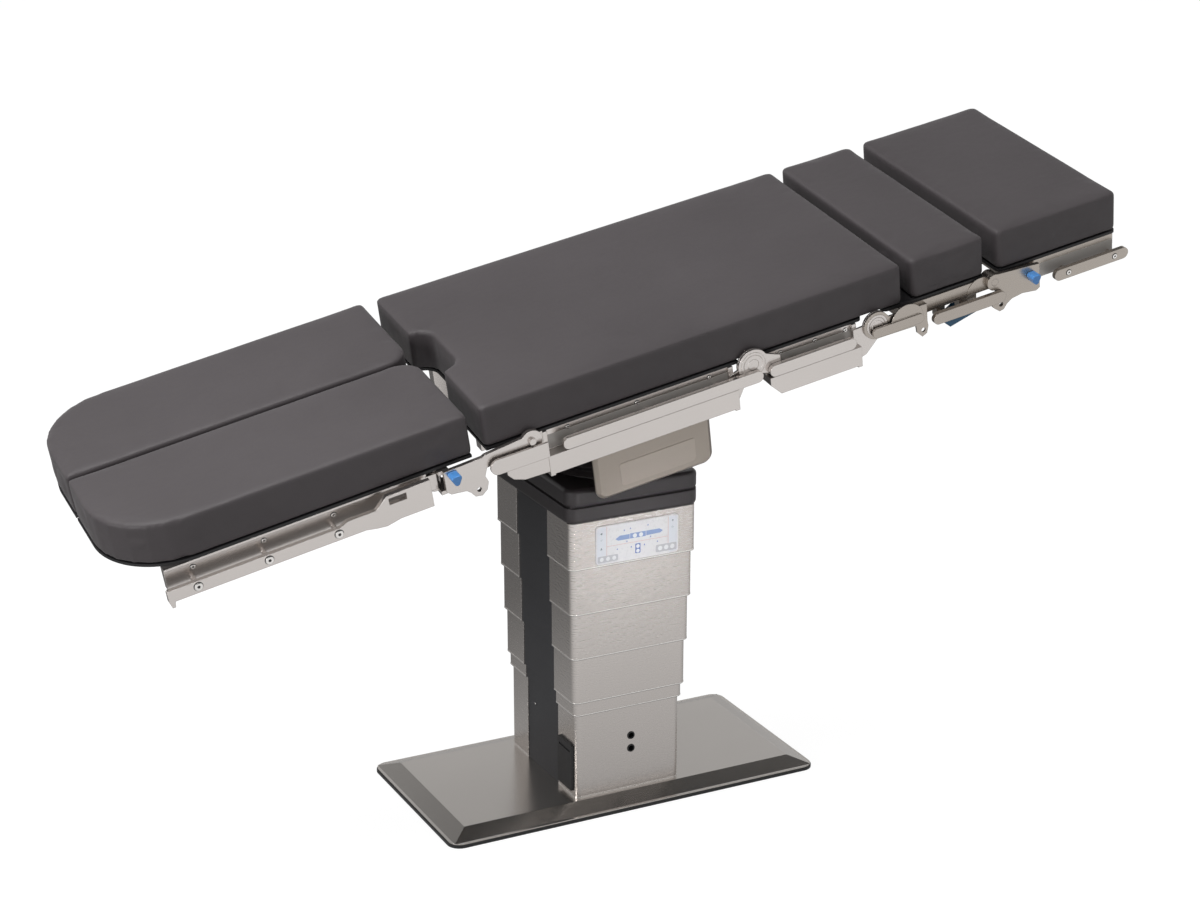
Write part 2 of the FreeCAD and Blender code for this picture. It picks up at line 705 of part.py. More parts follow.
def build_decks():
    wide = s.cushion_half_width - s.plate_inset
    inset = s.plate_inset
    relief = s.hinge_relief
    low, high = deck_levels()
    seat = new_body("seat_plate")
    foot, head = s.main_foot_end + inset, s.back_pivot - relief
    box(seat, (foot, head), (-wide, wide), (low, high))
    notch = s.cut_half_width + inset
    deep = foot + s.cut_depth
    box(seat, (foot - 1, deep), (-notch, notch), (low - 1, high + 1), cut=True)
    round_edges(seat, s.cut_round, lambda e: runs_along(e, 2) and near(middle(e).x, deep))
    keep("seat_plate", seat)
    deck("back_plate", s.back_pivot + relief, s.upper_pivot - relief, wide)
    deck("upper_plate", s.upper_pivot + relief, s.upper_head_end - inset, wide)
    deck("head_plate", s.head_foot_end + inset, s.head_head_end - inset, wide)


def build_leg_plate(side):
    label = f"leg_plate_{SIDE_NAMES[side]}"
    body = new_body(label)
    low, high = deck_levels()
    leg_outline(body, side, s.plate_inset, low, high)
    return keep(label, body)


# Side frames, cross members and rails

def frame_top():
    return s.cushion_thickness + s.plate_gap + s.plate_thickness


def side_beam(body, side, foot, head):
    """A hollow side beam: a narrow web above, a wider box below, closed by end flanges."""
    inner, web, outer = s.frame_inner * side, s.web_outer * side, s.box_outer * side
    top, step, bottom, wall = -frame_top(), -s.box_top, -s.box_bottom, s.box_wall * side
    thick = s.box_wall
    profile = [(inner, top), (web, top), (web, step), (outer, step), (outer, bottom), (inner, bottom)]
    hollow = [(inner + wall, top - thick), (web - wall, top - thick), (web - wall, step - thick),
              (outer - wall, step - thick), (outer - wall, bottom + thick), (inner + wall, bottom + thick)]
    prism(body, "YZ", foot + s.flange, head - s.flange, profile, hollow)
    for low in (foot, head - s.flange):
        wide = mirrored_y(side, s.frame_inner, s.box_outer)
        box(body, (low, low + s.flange), wide, (bottom - 3, step))
        narrow = mirrored_y(side, s.frame_inner, s.web_outer + 6)
        box(body, (low, low + s.flange), narrow, (step - 1, top))


def knuckle_arm(body, side, layer, centre, radius, outline, pin_hole=True):
    """A hinge cheek: a disc about the pivot and the arm that carries it."""
    inner = s.knuckle_inner + (s.knuckle_plate + s.knuckle_gap) * layer
    y = mirrored_y(side, inner, inner + s.knuckle_plate)
    prism(body, "XZ", y[0], y[1], outline)
    disc(body, "XZ", y[0], y[1], centre, radius)
    if pin_hole:
        disc(body, "XZ", y[0] - 1, y[1] + 1, centre, s.pin_radius + s.pin_clearance, cut=True)
    return y


def hinge_pin(body, side, inner, centre):
    """The pin through both cheeks of a hinge, with a low round head outside."""
    tip = s.knuckle_inner + s.knuckle_plate * 2 + s.knuckle_gap
    y = mirrored_y(side, inner, tip)
    disc(body, "XZ", y[0], y[1], centre, s.pin_radius)


def build_seat_frames():
    body = new_body("seat_side_frames")
    foot, head = s.seat_frame_foot, s.seat_frame_head
    back = (s.back_pivot, -s.back_pivot_depth)
    leg = (s.leg_pivot, -s.leg_pivot_depth)
    radius = s.back_knuckle
    for side in SIDES:
        side_beam(body, side, foot, head)
        knuckle_arm(body, side, 0, back, radius, [
            (head - s.flange, -s.box_top + 28), (head - s.flange, -s.box_bottom + 8),
            (head + 6, -s.box_bottom + 10), (s.back_pivot - 12, -s.back_pivot_depth - radius + 3),
            (s.back_pivot, -s.back_pivot_depth + 6)], pin_hole=False)
        hinge_pin(body, side, s.knuckle_inner, back)
        filler = mirrored_y(side, s.web_outer, s.knuckle_inner)
        box(body, (head - s.flange, head), filler, (-s.box_top, -s.box_top + 28))
        cheek = mirrored_y(side, s.bracket_inner - 6, s.bracket_inner - 1)
        prism(body, "XZ", cheek[0], cheek[1], [
            (foot, -s.cheek_top), (foot - 88, -s.cheek_top - 3), (foot - 96, -s.cheek_top - 16),
            (foot - 74, -s.cheek_top - 34), (foot, -s.box_bottom + 10)])
        outer = s.bracket_inner + s.bracket_thickness + 1
        cheek = mirrored_y(side, outer, outer + 5)
        prism(body, "XZ", cheek[0], cheek[1], [
            (foot + 2, -s.stop_bar_top - 6), (foot - 87, -s.stop_bar_top - 12), (foot - 87, -s.box_top - 11),
            (foot - 76, -s.box_top - 24), (foot - 53, -s.box_bottom + 9), (foot + 2, -s.box_bottom + 7)])
        bar = mirrored_y(side, outer + 4, outer + 9)
        low, high = -s.stop_bar_top - s.stop_bar_height, -s.stop_bar_top
        end = (foot - s.stop_bar_length, (low + high) / 2)
        box(body, (end[0], foot + 2), bar, (low, high))
        disc(body, "XZ", bar[0], bar[1], end, s.stop_bar_height / 2)
        pin = mirrored_y(side, s.bracket_inner - 6, outer + 5)
        disc(body, "XZ", pin[0], pin[1], leg, s.leg_pin_radius)
    keep("seat_side_frames", body)

    cross = new_body("seat_cross_frame")
    top = -frame_top()
    inner = s.frame_inner
    guide = -s.guide_top
    for place in (foot + 34, s.seat_frame_head - 44):
        prism(cross, "XZ", -inner, inner, rectangle((place - 20, place + 20), (guide, top - 6)),
              rectangle((place - 16, place + 16), (guide + 4, top - 10)))
    for side in SIDES:
        centre = s.guide_side * side
        half = s.guide_width / 2
        box(cross, (s.guide_foot, s.seat_frame_head - 4), (centre - half, centre + half),
            (-s.carriage_top + 1, guide))
        box(cross, (s.guide_foot, foot + 34), (centre - half, centre + half), (guide, top))
    keep("seat_cross_frame", cross)


def build_back_frames():
    body = new_body("back_side_frames")
    foot, head = s.back_frame_foot, s.back_frame_head
    back = (s.back_pivot, -s.back_pivot_depth)
    upper = (s.upper_pivot, -s.upper_pivot_depth)
    for side in SIDES:
        side_beam(body, side, foot, head)
        knuckle_arm(body, side, 1, back, s.back_knuckle, [
            (s.back_pivot, -s.back_pivot_depth + 28), (foot + 30, -frame_top() - 4),
            (foot + 30, -s.box_top), (s.back_pivot + 20, -s.back_pivot_depth - 26)])
        bridge = mirrored_y(side, s.web_outer, s.knuckle_inner + s.knuckle_plate * 2 + s.knuckle_gap)
        box(body, (foot + 12, foot + 30), bridge, (-s.box_top, -frame_top() - 4))
        radius = s.upper_knuckle
        knuckle_arm(body, side, 0, upper, radius, [
            (head - s.flange, -s.box_top + 34), (head - s.flange, -s.box_bottom + 4),
            (head + 18, -s.box_bottom + 12), (s.upper_pivot + 8, -s.upper_pivot_depth - radius + 2),
            (s.upper_pivot, -s.upper_pivot_depth + 8)], pin_hole=False)
        hinge_pin(body, side, s.knuckle_inner, upper)
        filler = mirrored_y(side, s.web_outer, s.knuckle_inner)
        box(body, (head - s.flange, head), filler, (-s.box_top, -s.box_top + 34))
    for side in SIDES:
        y = mirrored_y(side, s.frame_inner - 1, s.box_outer + 1)
        prism(body, "XZ", y[0], y[1], [
            (foot - 1, -s.box_bottom - 4), (foot + 26, -s.box_bottom - 4), (foot - 1, -s.box_top - 16)],
            cut=True)
    for place in (foot + 44, head - 40):
        box(body, (place - 16, place + 16), (-s.frame_inner, s.frame_inner),
            (-frame_top() - 30, -frame_top() - 4))
    keep("back_side_frames", body)


def rail_pair(label, foot, head, top, studs, seat):
    """Two accessory rails with round ends, on studs that stand on the frames behind."""
    body = new_body(label)
    half = s.rail_height / 2
    middle_z = -(top + half)
    for side in SIDES:
        y = mirrored_y(side, s.rail_inner, s.rail_inner + s.rail_thickness)
        box(body, (foot + half, head - half), y, (-(top + s.rail_height), -top))
        disc(body, "XZ", y[0], y[1], (foot + half, middle_z), half)
        disc(body, "XZ", y[0], y[1], (head - half, middle_z), half)
        stud = mirrored_y(side, seat, s.rail_inner)
        for place in studs:
            disc(body, "XZ", stud[0], stud[1], (place, middle_z), s.stud_radius)
    return keep(label, body)


def build_rails():
    rail_pair("seat_rails", s.seat_rail_foot, s.seat_rail_head, s.rail_top,
              (s.seat_rail_foot + 40, (s.seat_rail_foot + s.seat_frame_head) / 2, s.seat_frame_head - 36),
              s.web_outer)
    rail_pair("back_rails", s.back_rail_foot, s.back_rail_head, s.rail_top,
              (s.back_rail_foot + 50, s.back_rail_head - 36), s.web_outer)
    rail_pair("upper_rails", s.upper_rail_foot, s.upper_rail_head, s.upper_rail_top,
              (s.upper_rail_foot + 30, s.upper_rail_head - 90), s.web_outer + 5)
    rail_pair("head_rails", s.head_rail_foot, s.head_rail_head, s.head_rail_top,
              (s.head_rail_foot + 34, s.head_rail_head - 34), s.web_outer)


def build_upper_arms():
    body = new_body("upper_arms")
    upper = (s.upper_pivot, -s.upper_pivot_depth)
    pivot = (s.head_pivot, -s.head_pivot_depth)
    top = -frame_top()
    low = -s.head_pivot_depth - 17
    join = s.upper_pivot + 88
    lug = s.upper_pivot + 107
    inner_arm = (s.frame_inner + 6, s.web_outer + 5)
    for side in SIDES:
        knuckle_arm(body, side, 1, upper, s.upper_knuckle, [
            (s.upper_pivot, -s.upper_pivot_depth + 12), (join + 30, top - 4), (join + 30, -s.rail_top - 26),
            (lug + 13, -150), (lug + 9, -166), (lug - 2, -171), (lug - 14, -158), (lug - 16, -141),
            (s.upper_pivot - 2, -s.upper_pivot_depth - s.upper_knuckle)])
        lug_y = mirrored_y(side, s.knuckle_inner, s.knuckle_inner + s.knuckle_plate * 3)
        disc(body, "XZ", lug_y[0], lug_y[1], (lug + 1, -156), 5, cut=True)
        arm = mirrored_y(side, *inner_arm)
        prism(body, "XZ", arm[0], arm[1], [
            (join - 30, top), (s.upper_head_end, top), (s.head_pivot, -s.head_pivot_depth + 16),
            (s.head_pivot, low + 1),
            (join - 30, low - 6)])
        disc(body, "XZ", arm[0], arm[1], pivot, 16.5)
        bridge = mirrored_y(side, inner_arm[0], s.knuckle_inner + s.knuckle_plate * 2 + s.knuckle_gap)
        box(body, (join, join + 30), bridge, (-s.rail_top - 26, top - 4))
        pin = mirrored_y(side, inner_arm[1], s.knuckle_inner + s.bracket_thickness)
        disc(body, "XZ", pin[0], pin[1], pivot, s.pin_radius)
        tab = mirrored_y(side, s.web_outer - 12, s.web_outer + 5)
        for place in (s.upper_rail_foot + 30, s.upper_rail_head - 90):
            box(body, (place - 10, place + 10), tab, (-s.upper_rail_top - 20, top - 10))
        shaft = (s.upper_head_end - 34, -s.head_pivot_depth - 36)
        ear = mirrored_y(side, s.lever_outer + 0.5, s.lever_outer + 12.5)
        prism(body, "XZ", ear[0], ear[1], [
            (shaft[0] - 11, top - 10), (shaft[0] - 11, shaft[1]), (shaft[0] + 11, shaft[1]),
            (shaft[0] + 11, top - 10)])
        disc(body, "XZ", ear[0], ear[1], shaft, 11)
        disc(body, "XZ", ear[0] - 1, ear[1] + 1, shaft, s.lever_shaft + s.pin_clearance, cut=True)
    for place in (s.upper_pivot + s.hinge_relief + 46, s.upper_head_end - 52):
        box(body, (place - 14, place + 14), (-inner_arm[0], inner_arm[0]), (top - 22, top))
    box(body, (s.upper_pivot + 66, s.upper_pivot + 94), (-inner_arm[0] - 3, inner_arm[0] + 3), (top - 22, top))
    keep("upper_arms", body)


def build_head_frames():
    body = new_body("head_brackets")
    pivot = (s.head_pivot, -s.head_pivot_depth)
    top = -frame_top()
    for side in SIDES:
        y = mirrored_y(side, s.knuckle_inner, s.knuckle_inner + s.bracket_thickness)
        place = s.head_pivot
        prism(body, "XZ", y[0], y[1], [
            (place, -s.head_pivot_depth + 17), (place + 109, top - 2), (place + 109, -152),
            (place + 100, -157), (place + 66, -152), (place + 40, -156), (place + 28, -164),
            (place + 20, -174), (place + 10, -176), (place - 2, -166), (place - 8, -158),
            (place + 4, -152), (place + 4, -s.head_pivot_depth - 17)])
        disc(body, "XZ", y[0], y[1], pivot, s.head_knuckle)
        disc(body, "XZ", y[0] - 1, y[1] + 1, pivot, s.pin_radius + s.pin_clearance, cut=True)
        disc(body, "XZ", y[0] - 1, y[1] + 1, (place + 14, -161), 5, cut=True)
        disc(body, "XZ", y[0] - 1, y[1] + 1, (s.head_knob, -s.head_knob_depth),
             s.knob_spindle + s.pin_clearance, cut=True)
        bar = mirrored_y(side, s.frame_inner + 8, s.web_outer)
        box(body, (place + 36, s.head_head_end - 12), bar, (top - 24, top))
        tab = mirrored_y(side, s.web_outer - 12, s.web_outer)
        for spot in (s.head_rail_foot + 34, s.head_rail_head - 34):
            box(body, (spot - 11, spot + 11), tab, (-s.head_rail_top - 25, top - 20))
        link = mirrored_y(side, s.web_outer - 1, s.knuckle_inner + 1)
        box(body, (place + 40, place + 66), link, (top - 23, top - 13))
    inner = s.frame_inner + 8
    for place in (s.head_pivot + 50, s.head_head_end - 36):
        box(body, (place - 14, place + 14), (-inner, inner), (top - 24, top))
    keep("head_brackets", body)


def build_release_lever():
    """Two paddles under the upper back section, on one shaft across it."""
    body = new_body("release_lever")
    hinge = (s.upper_head_end - 34, -s.head_pivot_depth - 36)
    for side in SIDES:
        y = mirrored_y(side, s.lever_outer - 20, s.lever_outer)
        prism(body, "XZ", y[0], y[1], [
            (hinge[0] + 6, hinge[1] + 5), (hinge[0] + 6, hinge[1] - 9), (hinge[0] - 68, hinge[1] - 26),
            (hinge[0] - 88, hinge[1] - 6)])
    reach = s.lever_outer + 12
    disc(body, "XZ", -reach, reach, hinge, s.lever_shaft)
    keep("release_lever", body)


# Legs

def build_leg_bracket(side):
    """The bracket between the leg hinge and the spreading joint."""
    label = f"leg_bracket_{SIDE_NAMES[side]}"
    body = new_body(label)
    y = mirrored_y(side, s.bracket_inner, s.bracket_inner + s.bracket_thickness)
    pivot = (s.leg_pivot, -s.leg_pivot_depth)
    near_end = s.leg_pivot - 100
    ear = s.spread_pivot
    prism(body, "XZ", y[0], y[1], [
        (ear + 8, -s.spread_ear_top), (near_end - 4, -s.spread_ear_top + 2),
        (near_end + 2, -s.leg_pivot_depth + 6), (s.leg_pivot, -s.leg_pivot_depth + 14),
        (s.leg_pivot, -s.leg_pivot_depth - 14), (near_end + 2, -s.leg_pivot_depth - 22),
        (near_end - 4, -136), (near_end + 1, -150), (near_end - 4, -166), (near_end - 16, -175),
        (near_end - 30, -172), (near_end - 38, -160), (near_end - 46, -153), (ear + 16, -s.spread_ear_bottom),
        (ear + 8, -s.spread_ear_bottom + 8)])
    disc(body, "XZ", y[0], y[1], pivot, s.leg_knuckle)
    disc(body, "XZ", y[0] - 1, y[1] + 1, pivot, s.leg_pin_radius + s.pin_clearance, cut=True)
    disc(body, "XZ", y[0] - 1, y[1] + 1, (near_end - 20, -160), 5, cut=True)
    disc(body, "XZ", y[0] - 1, y[1] + 1, (s.leg_knob, -s.leg_knob_depth),
         s.knob_spindle + s.pin_clearance, cut=True)
    centre = (ear, s.spread_pivot_side * side)
    reach = mirrored_y(side, s.spread_pivot_side - s.spread_boss, s.bracket_inner + 1)
    thick = s.ear_thickness
    for low in (-s.spread_ear_top - thick, -s.spread_ear_bottom):
        box(body, (ear, ear + 22), reach, (low, low + thick))
        disc(body, "XY", low, low + thick, centre, s.spread_boss)
    disc(body, "XY", -s.spread_ear_bottom, -s.spread_ear_top, centre, s.spread_pin)
    return keep(label, body)


def build_leg_rail(side):
    """The leg's side bar, its knuckle on the spreading pin, and the rail outside it."""
    label = f"leg_rail_{SIDE_NAMES[side]}"
    body = new_body(label)
    centre = (s.spread_pivot, s.spread_pivot_side * side)
    top = -s.spread_ear_top - s.ear_thickness - s.ear_gap
    bottom = -s.spread_ear_bottom + s.ear_thickness + s.ear_gap
    disc(body, "XY", bottom, top, centre, s.spread_boss)
    deck_under = deck_levels()[0]
    foot, head = s.leg_rail_foot, s.spread_pivot
    inner, web, lip = s.leg_bar_inner * side, s.leg_bar_web * side, s.leg_bar_outer * side
    under = deck_under - s.leg_bar_lip
    bar_head = head - s.spread_boss - 8
    prism(body, "YZ", foot + 9, bar_head, [
        (inner, deck_under), (lip, deck_under), (lip, under), (web, under), (web, -s.leg_bar_bottom),
        (inner, -s.leg_bar_bottom)])
    box(body, (bar_head - 1, head), mirrored_y(side, s.leg_bar_inner, s.leg_bar_web), (bottom, top))
    rail = mirrored_y(side, s.rail_inner, s.rail_inner + s.rail_thickness)
    low, high = -s.box_top - 11, -s.box_top + 14
    end = s.leg_rail_head
    prism(body, "XZ", rail[0], rail[1], [
        (foot, high - 3), (foot + 3, high), (end - 188, high), (end - 170, high + 8), (end - 114, high + 8),
        (end - 90, high + 30), (end, high + 32), (end, low - 2), (end - 68, low - 2), (end - 98, low - 8),
        (end - 118, low - 5), (end - 140, low), (foot + 12, low), (foot + 10, low - 12), (foot + 4, low - 12),
        (foot, low + 2)])
    box(body, (end - 86, end - 50), (rail[0] - 1, rail[1] + 1), (high + 10, high + 24), cut=True)
    stud = mirrored_y(side, s.leg_bar_web - 1, s.rail_inner)
    for place in (foot + 59, foot + 198, foot + 337):
        disc(body, "XZ", stud[0], stud[1], (place, -s.box_top + 3), s.stud_radius)
    box(body, (end - 34, end - 6), stud, (top - 16, top - 2))
    for place in (foot + 150, head - 90):
        rung = mirrored_y(side, s.leg_gap / 2 + s.plate_inset + 13, s.leg_bar_inner + 1)
        box(body, (place - 14, place + 14), rung, (deck_under - 16, deck_under))
    disc(body, "XY", bottom - 1, top + 1, centre, s.spread_pin + s.pin_clearance, cut=True)
    return keep(label, body)


def build_knob(label, side, place, depth, bracket_inner):
    """A three-sided clamping knob on its spindle."""
    body = new_body(label)
    inner = s.bracket_thickness + bracket_inner
    y = mirrored_y(side, inner + 1, inner + 1 + s.knob_height)
    radius = s.knob_radius
    corners = [(place - radius * 0.95, radius * 0.75 - depth), (place + radius * 0.95, radius * 0.75 - depth),
               (place, -radius * 1.2 - depth)]
    prism(body, "XZ", y[0], y[1], corners)
    round_edges(body, 6, lambda e: runs_along(e, 1))
    face = (inner + 1 + s.knob_height).value

    def front(edge):
        box_ = edge.BoundBox
        return near(abs(box_.YMin), face) and near(abs(box_.YMax), face)

    round_edges(body, 2.5, front)
    spindle = mirrored_y(side, bracket_inner - 3, inner + 2)
    disc(body, "XZ", spindle[0], spindle[1], (place, -depth), s.knob_spindle)
    return keep(label, body)


COLUMN_PIECES = (build_base, build_housing, build_mast, build_column_head)
TOP_PIECES = (build_cushions, build_decks, build_seat_frames, build_back_frames, build_rails,
              build_upper_arms, build_head_frames, build_release_lever, build_carriage)


def build_all():
    for build in COLUMN_PIECES:
        build()
    for number in (2, 3, 4, 5):
        keep(f"cover_{number}_shells", cover_shells(f"cover_{number}_shells", number))
        cover_channels(f"cover_{number}_channels", number)
    build_bellows()
    build_gimbal()
    placed = set(parts)
    for build in TOP_PIECES:
        build()
    for side in SIDES:
        build_knob(f"head_knob_{SIDE_NAMES[side]}", side, s.head_knob, s.head_knob_depth, s.knuckle_inner)
    on_top = set(parts) - placed
    for side in SIDES:
        build_leg_cushion(side)
        build_leg_plate(side)
        build_leg_bracket(side)
        build_leg_rail(side)
        build_knob(f"leg_knob_{SIDE_NAMES[side]}", side, s.leg_knob, s.leg_knob_depth, s.bracket_inner)
    frames = {name: table_frame() for name in on_top}
    frames.update({name: leg_frame() for name in set(parts) - placed - on_top})
    frames["gimbal_cross"] = gimbal_frame()
    for name, frame in frames.items():
        parts[name].Placement = frame


def gimbal_frame():
    """The cross turns with the side tilt only."""
    lateral = FreeCAD.Rotation(FreeCAD.Vector(1, 0, 0), s.side_tilt_degrees.value)
    return FreeCAD.Placement(FreeCAD.Vector(0, 0, s.gimbal_height.value), lateral)


def export_all():
    doc.recompute()
    for feature in doc.Objects:
        if "Invalid" in feature.State or "Error" in feature.State:
            raise RuntimeError(f"{feature.Label}: {feature.State}")
    for name, piece in parts.items():
        if piece.Shape.isNull() or not piece.Shape.isValid():
            raise RuntimeError(f"{name}: no valid shape")
    os.makedirs("parts", exist_ok=True)
    for name, piece in parts.items():
        piece.Shape.exportStep(f"parts/{name}.step")
    print(len(parts), "parts,", sum(len(p.Shape.Solids) for p in parts.values()), "solids")


build_all()
export_all()
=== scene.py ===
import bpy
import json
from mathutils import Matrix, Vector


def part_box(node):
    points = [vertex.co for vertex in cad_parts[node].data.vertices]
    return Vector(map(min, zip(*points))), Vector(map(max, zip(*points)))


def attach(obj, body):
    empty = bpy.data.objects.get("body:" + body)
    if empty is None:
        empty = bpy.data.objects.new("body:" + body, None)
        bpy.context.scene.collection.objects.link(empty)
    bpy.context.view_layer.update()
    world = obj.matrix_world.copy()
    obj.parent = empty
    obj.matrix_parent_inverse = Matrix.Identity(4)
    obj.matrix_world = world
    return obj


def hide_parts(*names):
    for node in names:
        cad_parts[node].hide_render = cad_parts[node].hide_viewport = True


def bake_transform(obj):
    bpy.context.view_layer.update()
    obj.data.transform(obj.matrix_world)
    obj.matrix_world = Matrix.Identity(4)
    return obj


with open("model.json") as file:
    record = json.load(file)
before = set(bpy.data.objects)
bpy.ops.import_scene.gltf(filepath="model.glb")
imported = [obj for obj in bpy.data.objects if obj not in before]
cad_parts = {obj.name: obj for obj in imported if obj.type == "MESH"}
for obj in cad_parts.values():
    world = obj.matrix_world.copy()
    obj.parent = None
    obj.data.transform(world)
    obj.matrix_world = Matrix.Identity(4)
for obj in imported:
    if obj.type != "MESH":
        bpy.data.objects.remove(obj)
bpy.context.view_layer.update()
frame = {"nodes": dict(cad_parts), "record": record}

import json
import math

import bmesh
import bpy
from mathutils import Matrix, Vector

MM = 0.001
SIDES = {"left": -1, "right": 1}

# The stored posture of the top, as in the CAD
TILT_HEIGHT = 0.819
DECK = 0.250
SIDE_TILT = math.radians(10.128)
HEAD_UP = math.radians(11.467)
LEG_DROOP = math.radians(1.22)
LEG_PIVOT = Vector((-0.253, 0, -0.097))

TOP = (Matrix.Translation((0, 0, TILT_HEIGHT)) @ Matrix.Rotation(SIDE_TILT, 4, "X")
       @ Matrix.Rotation(-HEAD_UP, 4, "Y") @ Matrix.Translation((0, 0, DECK)))
LEG = (TOP @ Matrix.Translation(LEG_PIVOT) @ Matrix.Rotation(-LEG_DROOP, 4, "Y")
       @ Matrix.Translation(-LEG_PIVOT))


# Materials

def new_material(name):
    """A material with its shader, and object coordinates for its procedural detail."""
    mat = bpy.data.materials.new(name)
    mat.use_nodes = True
    nodes, links = mat.node_tree.nodes, mat.node_tree.links
    shader = nodes["Principled BSDF"]
    place = nodes.new("ShaderNodeTexCoord")
    return mat, nodes, links, shader, place.outputs["Object"]


def noise(nodes, links, place, scale, detail=3.0, stretch=(1, 1, 1)):
    turn = nodes.new("ShaderNodeMapping")
    turn.inputs["Scale"].default_value = stretch
    links.new(place, turn.inputs["Vector"])
    tex = nodes.new("ShaderNodeTexNoise")
    tex.inputs["Scale"].default_value = scale
    tex.inputs["Detail"].default_value = detail
    links.new(turn.outputs["Vector"], tex.inputs["Vector"])
    return tex.outputs["Fac"]


def spread(nodes, links, value, low, high, source=(0.3, 0.7)):
    """Maps a noise onto a range."""
    step = nodes.new("ShaderNodeMapRange")
    step.inputs["From Min"].default_value = source[0]
    step.inputs["From Max"].default_value = source[1]
    step.inputs["To Min"].default_value = low
    step.inputs["To Max"].default_value = high
    links.new(value, step.inputs["Value"])
    return step.outputs["Result"]


def tinted(nodes, links, value, dark, light):
    ramp = nodes.new("ShaderNodeValToRGB")
    ramp.color_ramp.elements[0].position = 0.3
    ramp.color_ramp.elements[1].position = 0.7
    ramp.color_ramp.elements[0].color = (*dark, 1)
    ramp.color_ramp.elements[1].color = (*light, 1)
    links.new(value, ramp.inputs["Fac"])
    return ramp.outputs["Color"]


def surface(name, colour, roughness, metallic=0.0, vary=0.06, tone_scale=6, grain=260, stretch=(1, 1, 1),
            bump=0.05, depth=0.0002, rough_vary=0.05, edge=0.0, sheen=0.0, coat=0.0, specular=0.5):
    """A finish with slow changes of tone, a fine grain, and softly rounded edges."""
    mat, nodes, links, shader, place = new_material(name)
    slow = noise(nodes, links, place, tone_scale, 2.0)
    fine = noise(nodes, links, place, grain, 3.0, stretch)
    blend = nodes.new("ShaderNodeMath")
    blend.operation = "MULTIPLY_ADD"
    blend.inputs[1].default_value = 0.35
    links.new(fine, blend.inputs[0])
    scaled = nodes.new("ShaderNodeMath")
    scaled.operation = "MULTIPLY"
    scaled.inputs[1].default_value = 0.65
    links.new(slow, scaled.inputs[0])
    links.new(scaled.outputs[0], blend.inputs[2])
    dark = [c * (1 - vary) for c in colour]
    light = [min(1, c * (1 + vary)) for c in colour]
    links.new(tinted(nodes, links, blend.outputs[0], dark, light), shader.inputs["Base Color"])
    links.new(spread(nodes, links, fine, roughness - rough_vary, roughness + rough_vary),
              shader.inputs["Roughness"])
    shader.inputs["Metallic"].default_value = metallic
    shader.inputs["Specular IOR Level"].default_value = specular
    if sheen:
        shader.inputs["Sheen Weight"].default_value = sheen
        shader.inputs["Sheen Roughness"].default_value = 0.4
    if coat:
        shader.inputs["Coat Weight"].default_value = coat
        shader.inputs["Coat Roughness"].default_value = 0.15
    raised = nodes.new("ShaderNodeBump")
    raised.inputs["Strength"].default_value = bump
    raised.inputs["Distance"].default_value = depth
    links.new(fine, raised.inputs["Height"])
    if edge:
        rounding = nodes.new("ShaderNodeBevel")
        rounding.samples = 6
        rounding.inputs["Radius"].default_value = edge
        links.new(rounding.outputs["Normal"], raised.inputs["Normal"])
    links.new(raised.outputs["Normal"], shader.inputs["Normal"])
    return mat


def srgb(red, green, blue):
    """Linear colour from the 0-255 numbers that a picture viewer shows."""
    return tuple(((c / 255 + 0.055) / 1.055) ** 2.4 if c > 10 else c / 255 / 12.92
                 for c in (red, green, blue))


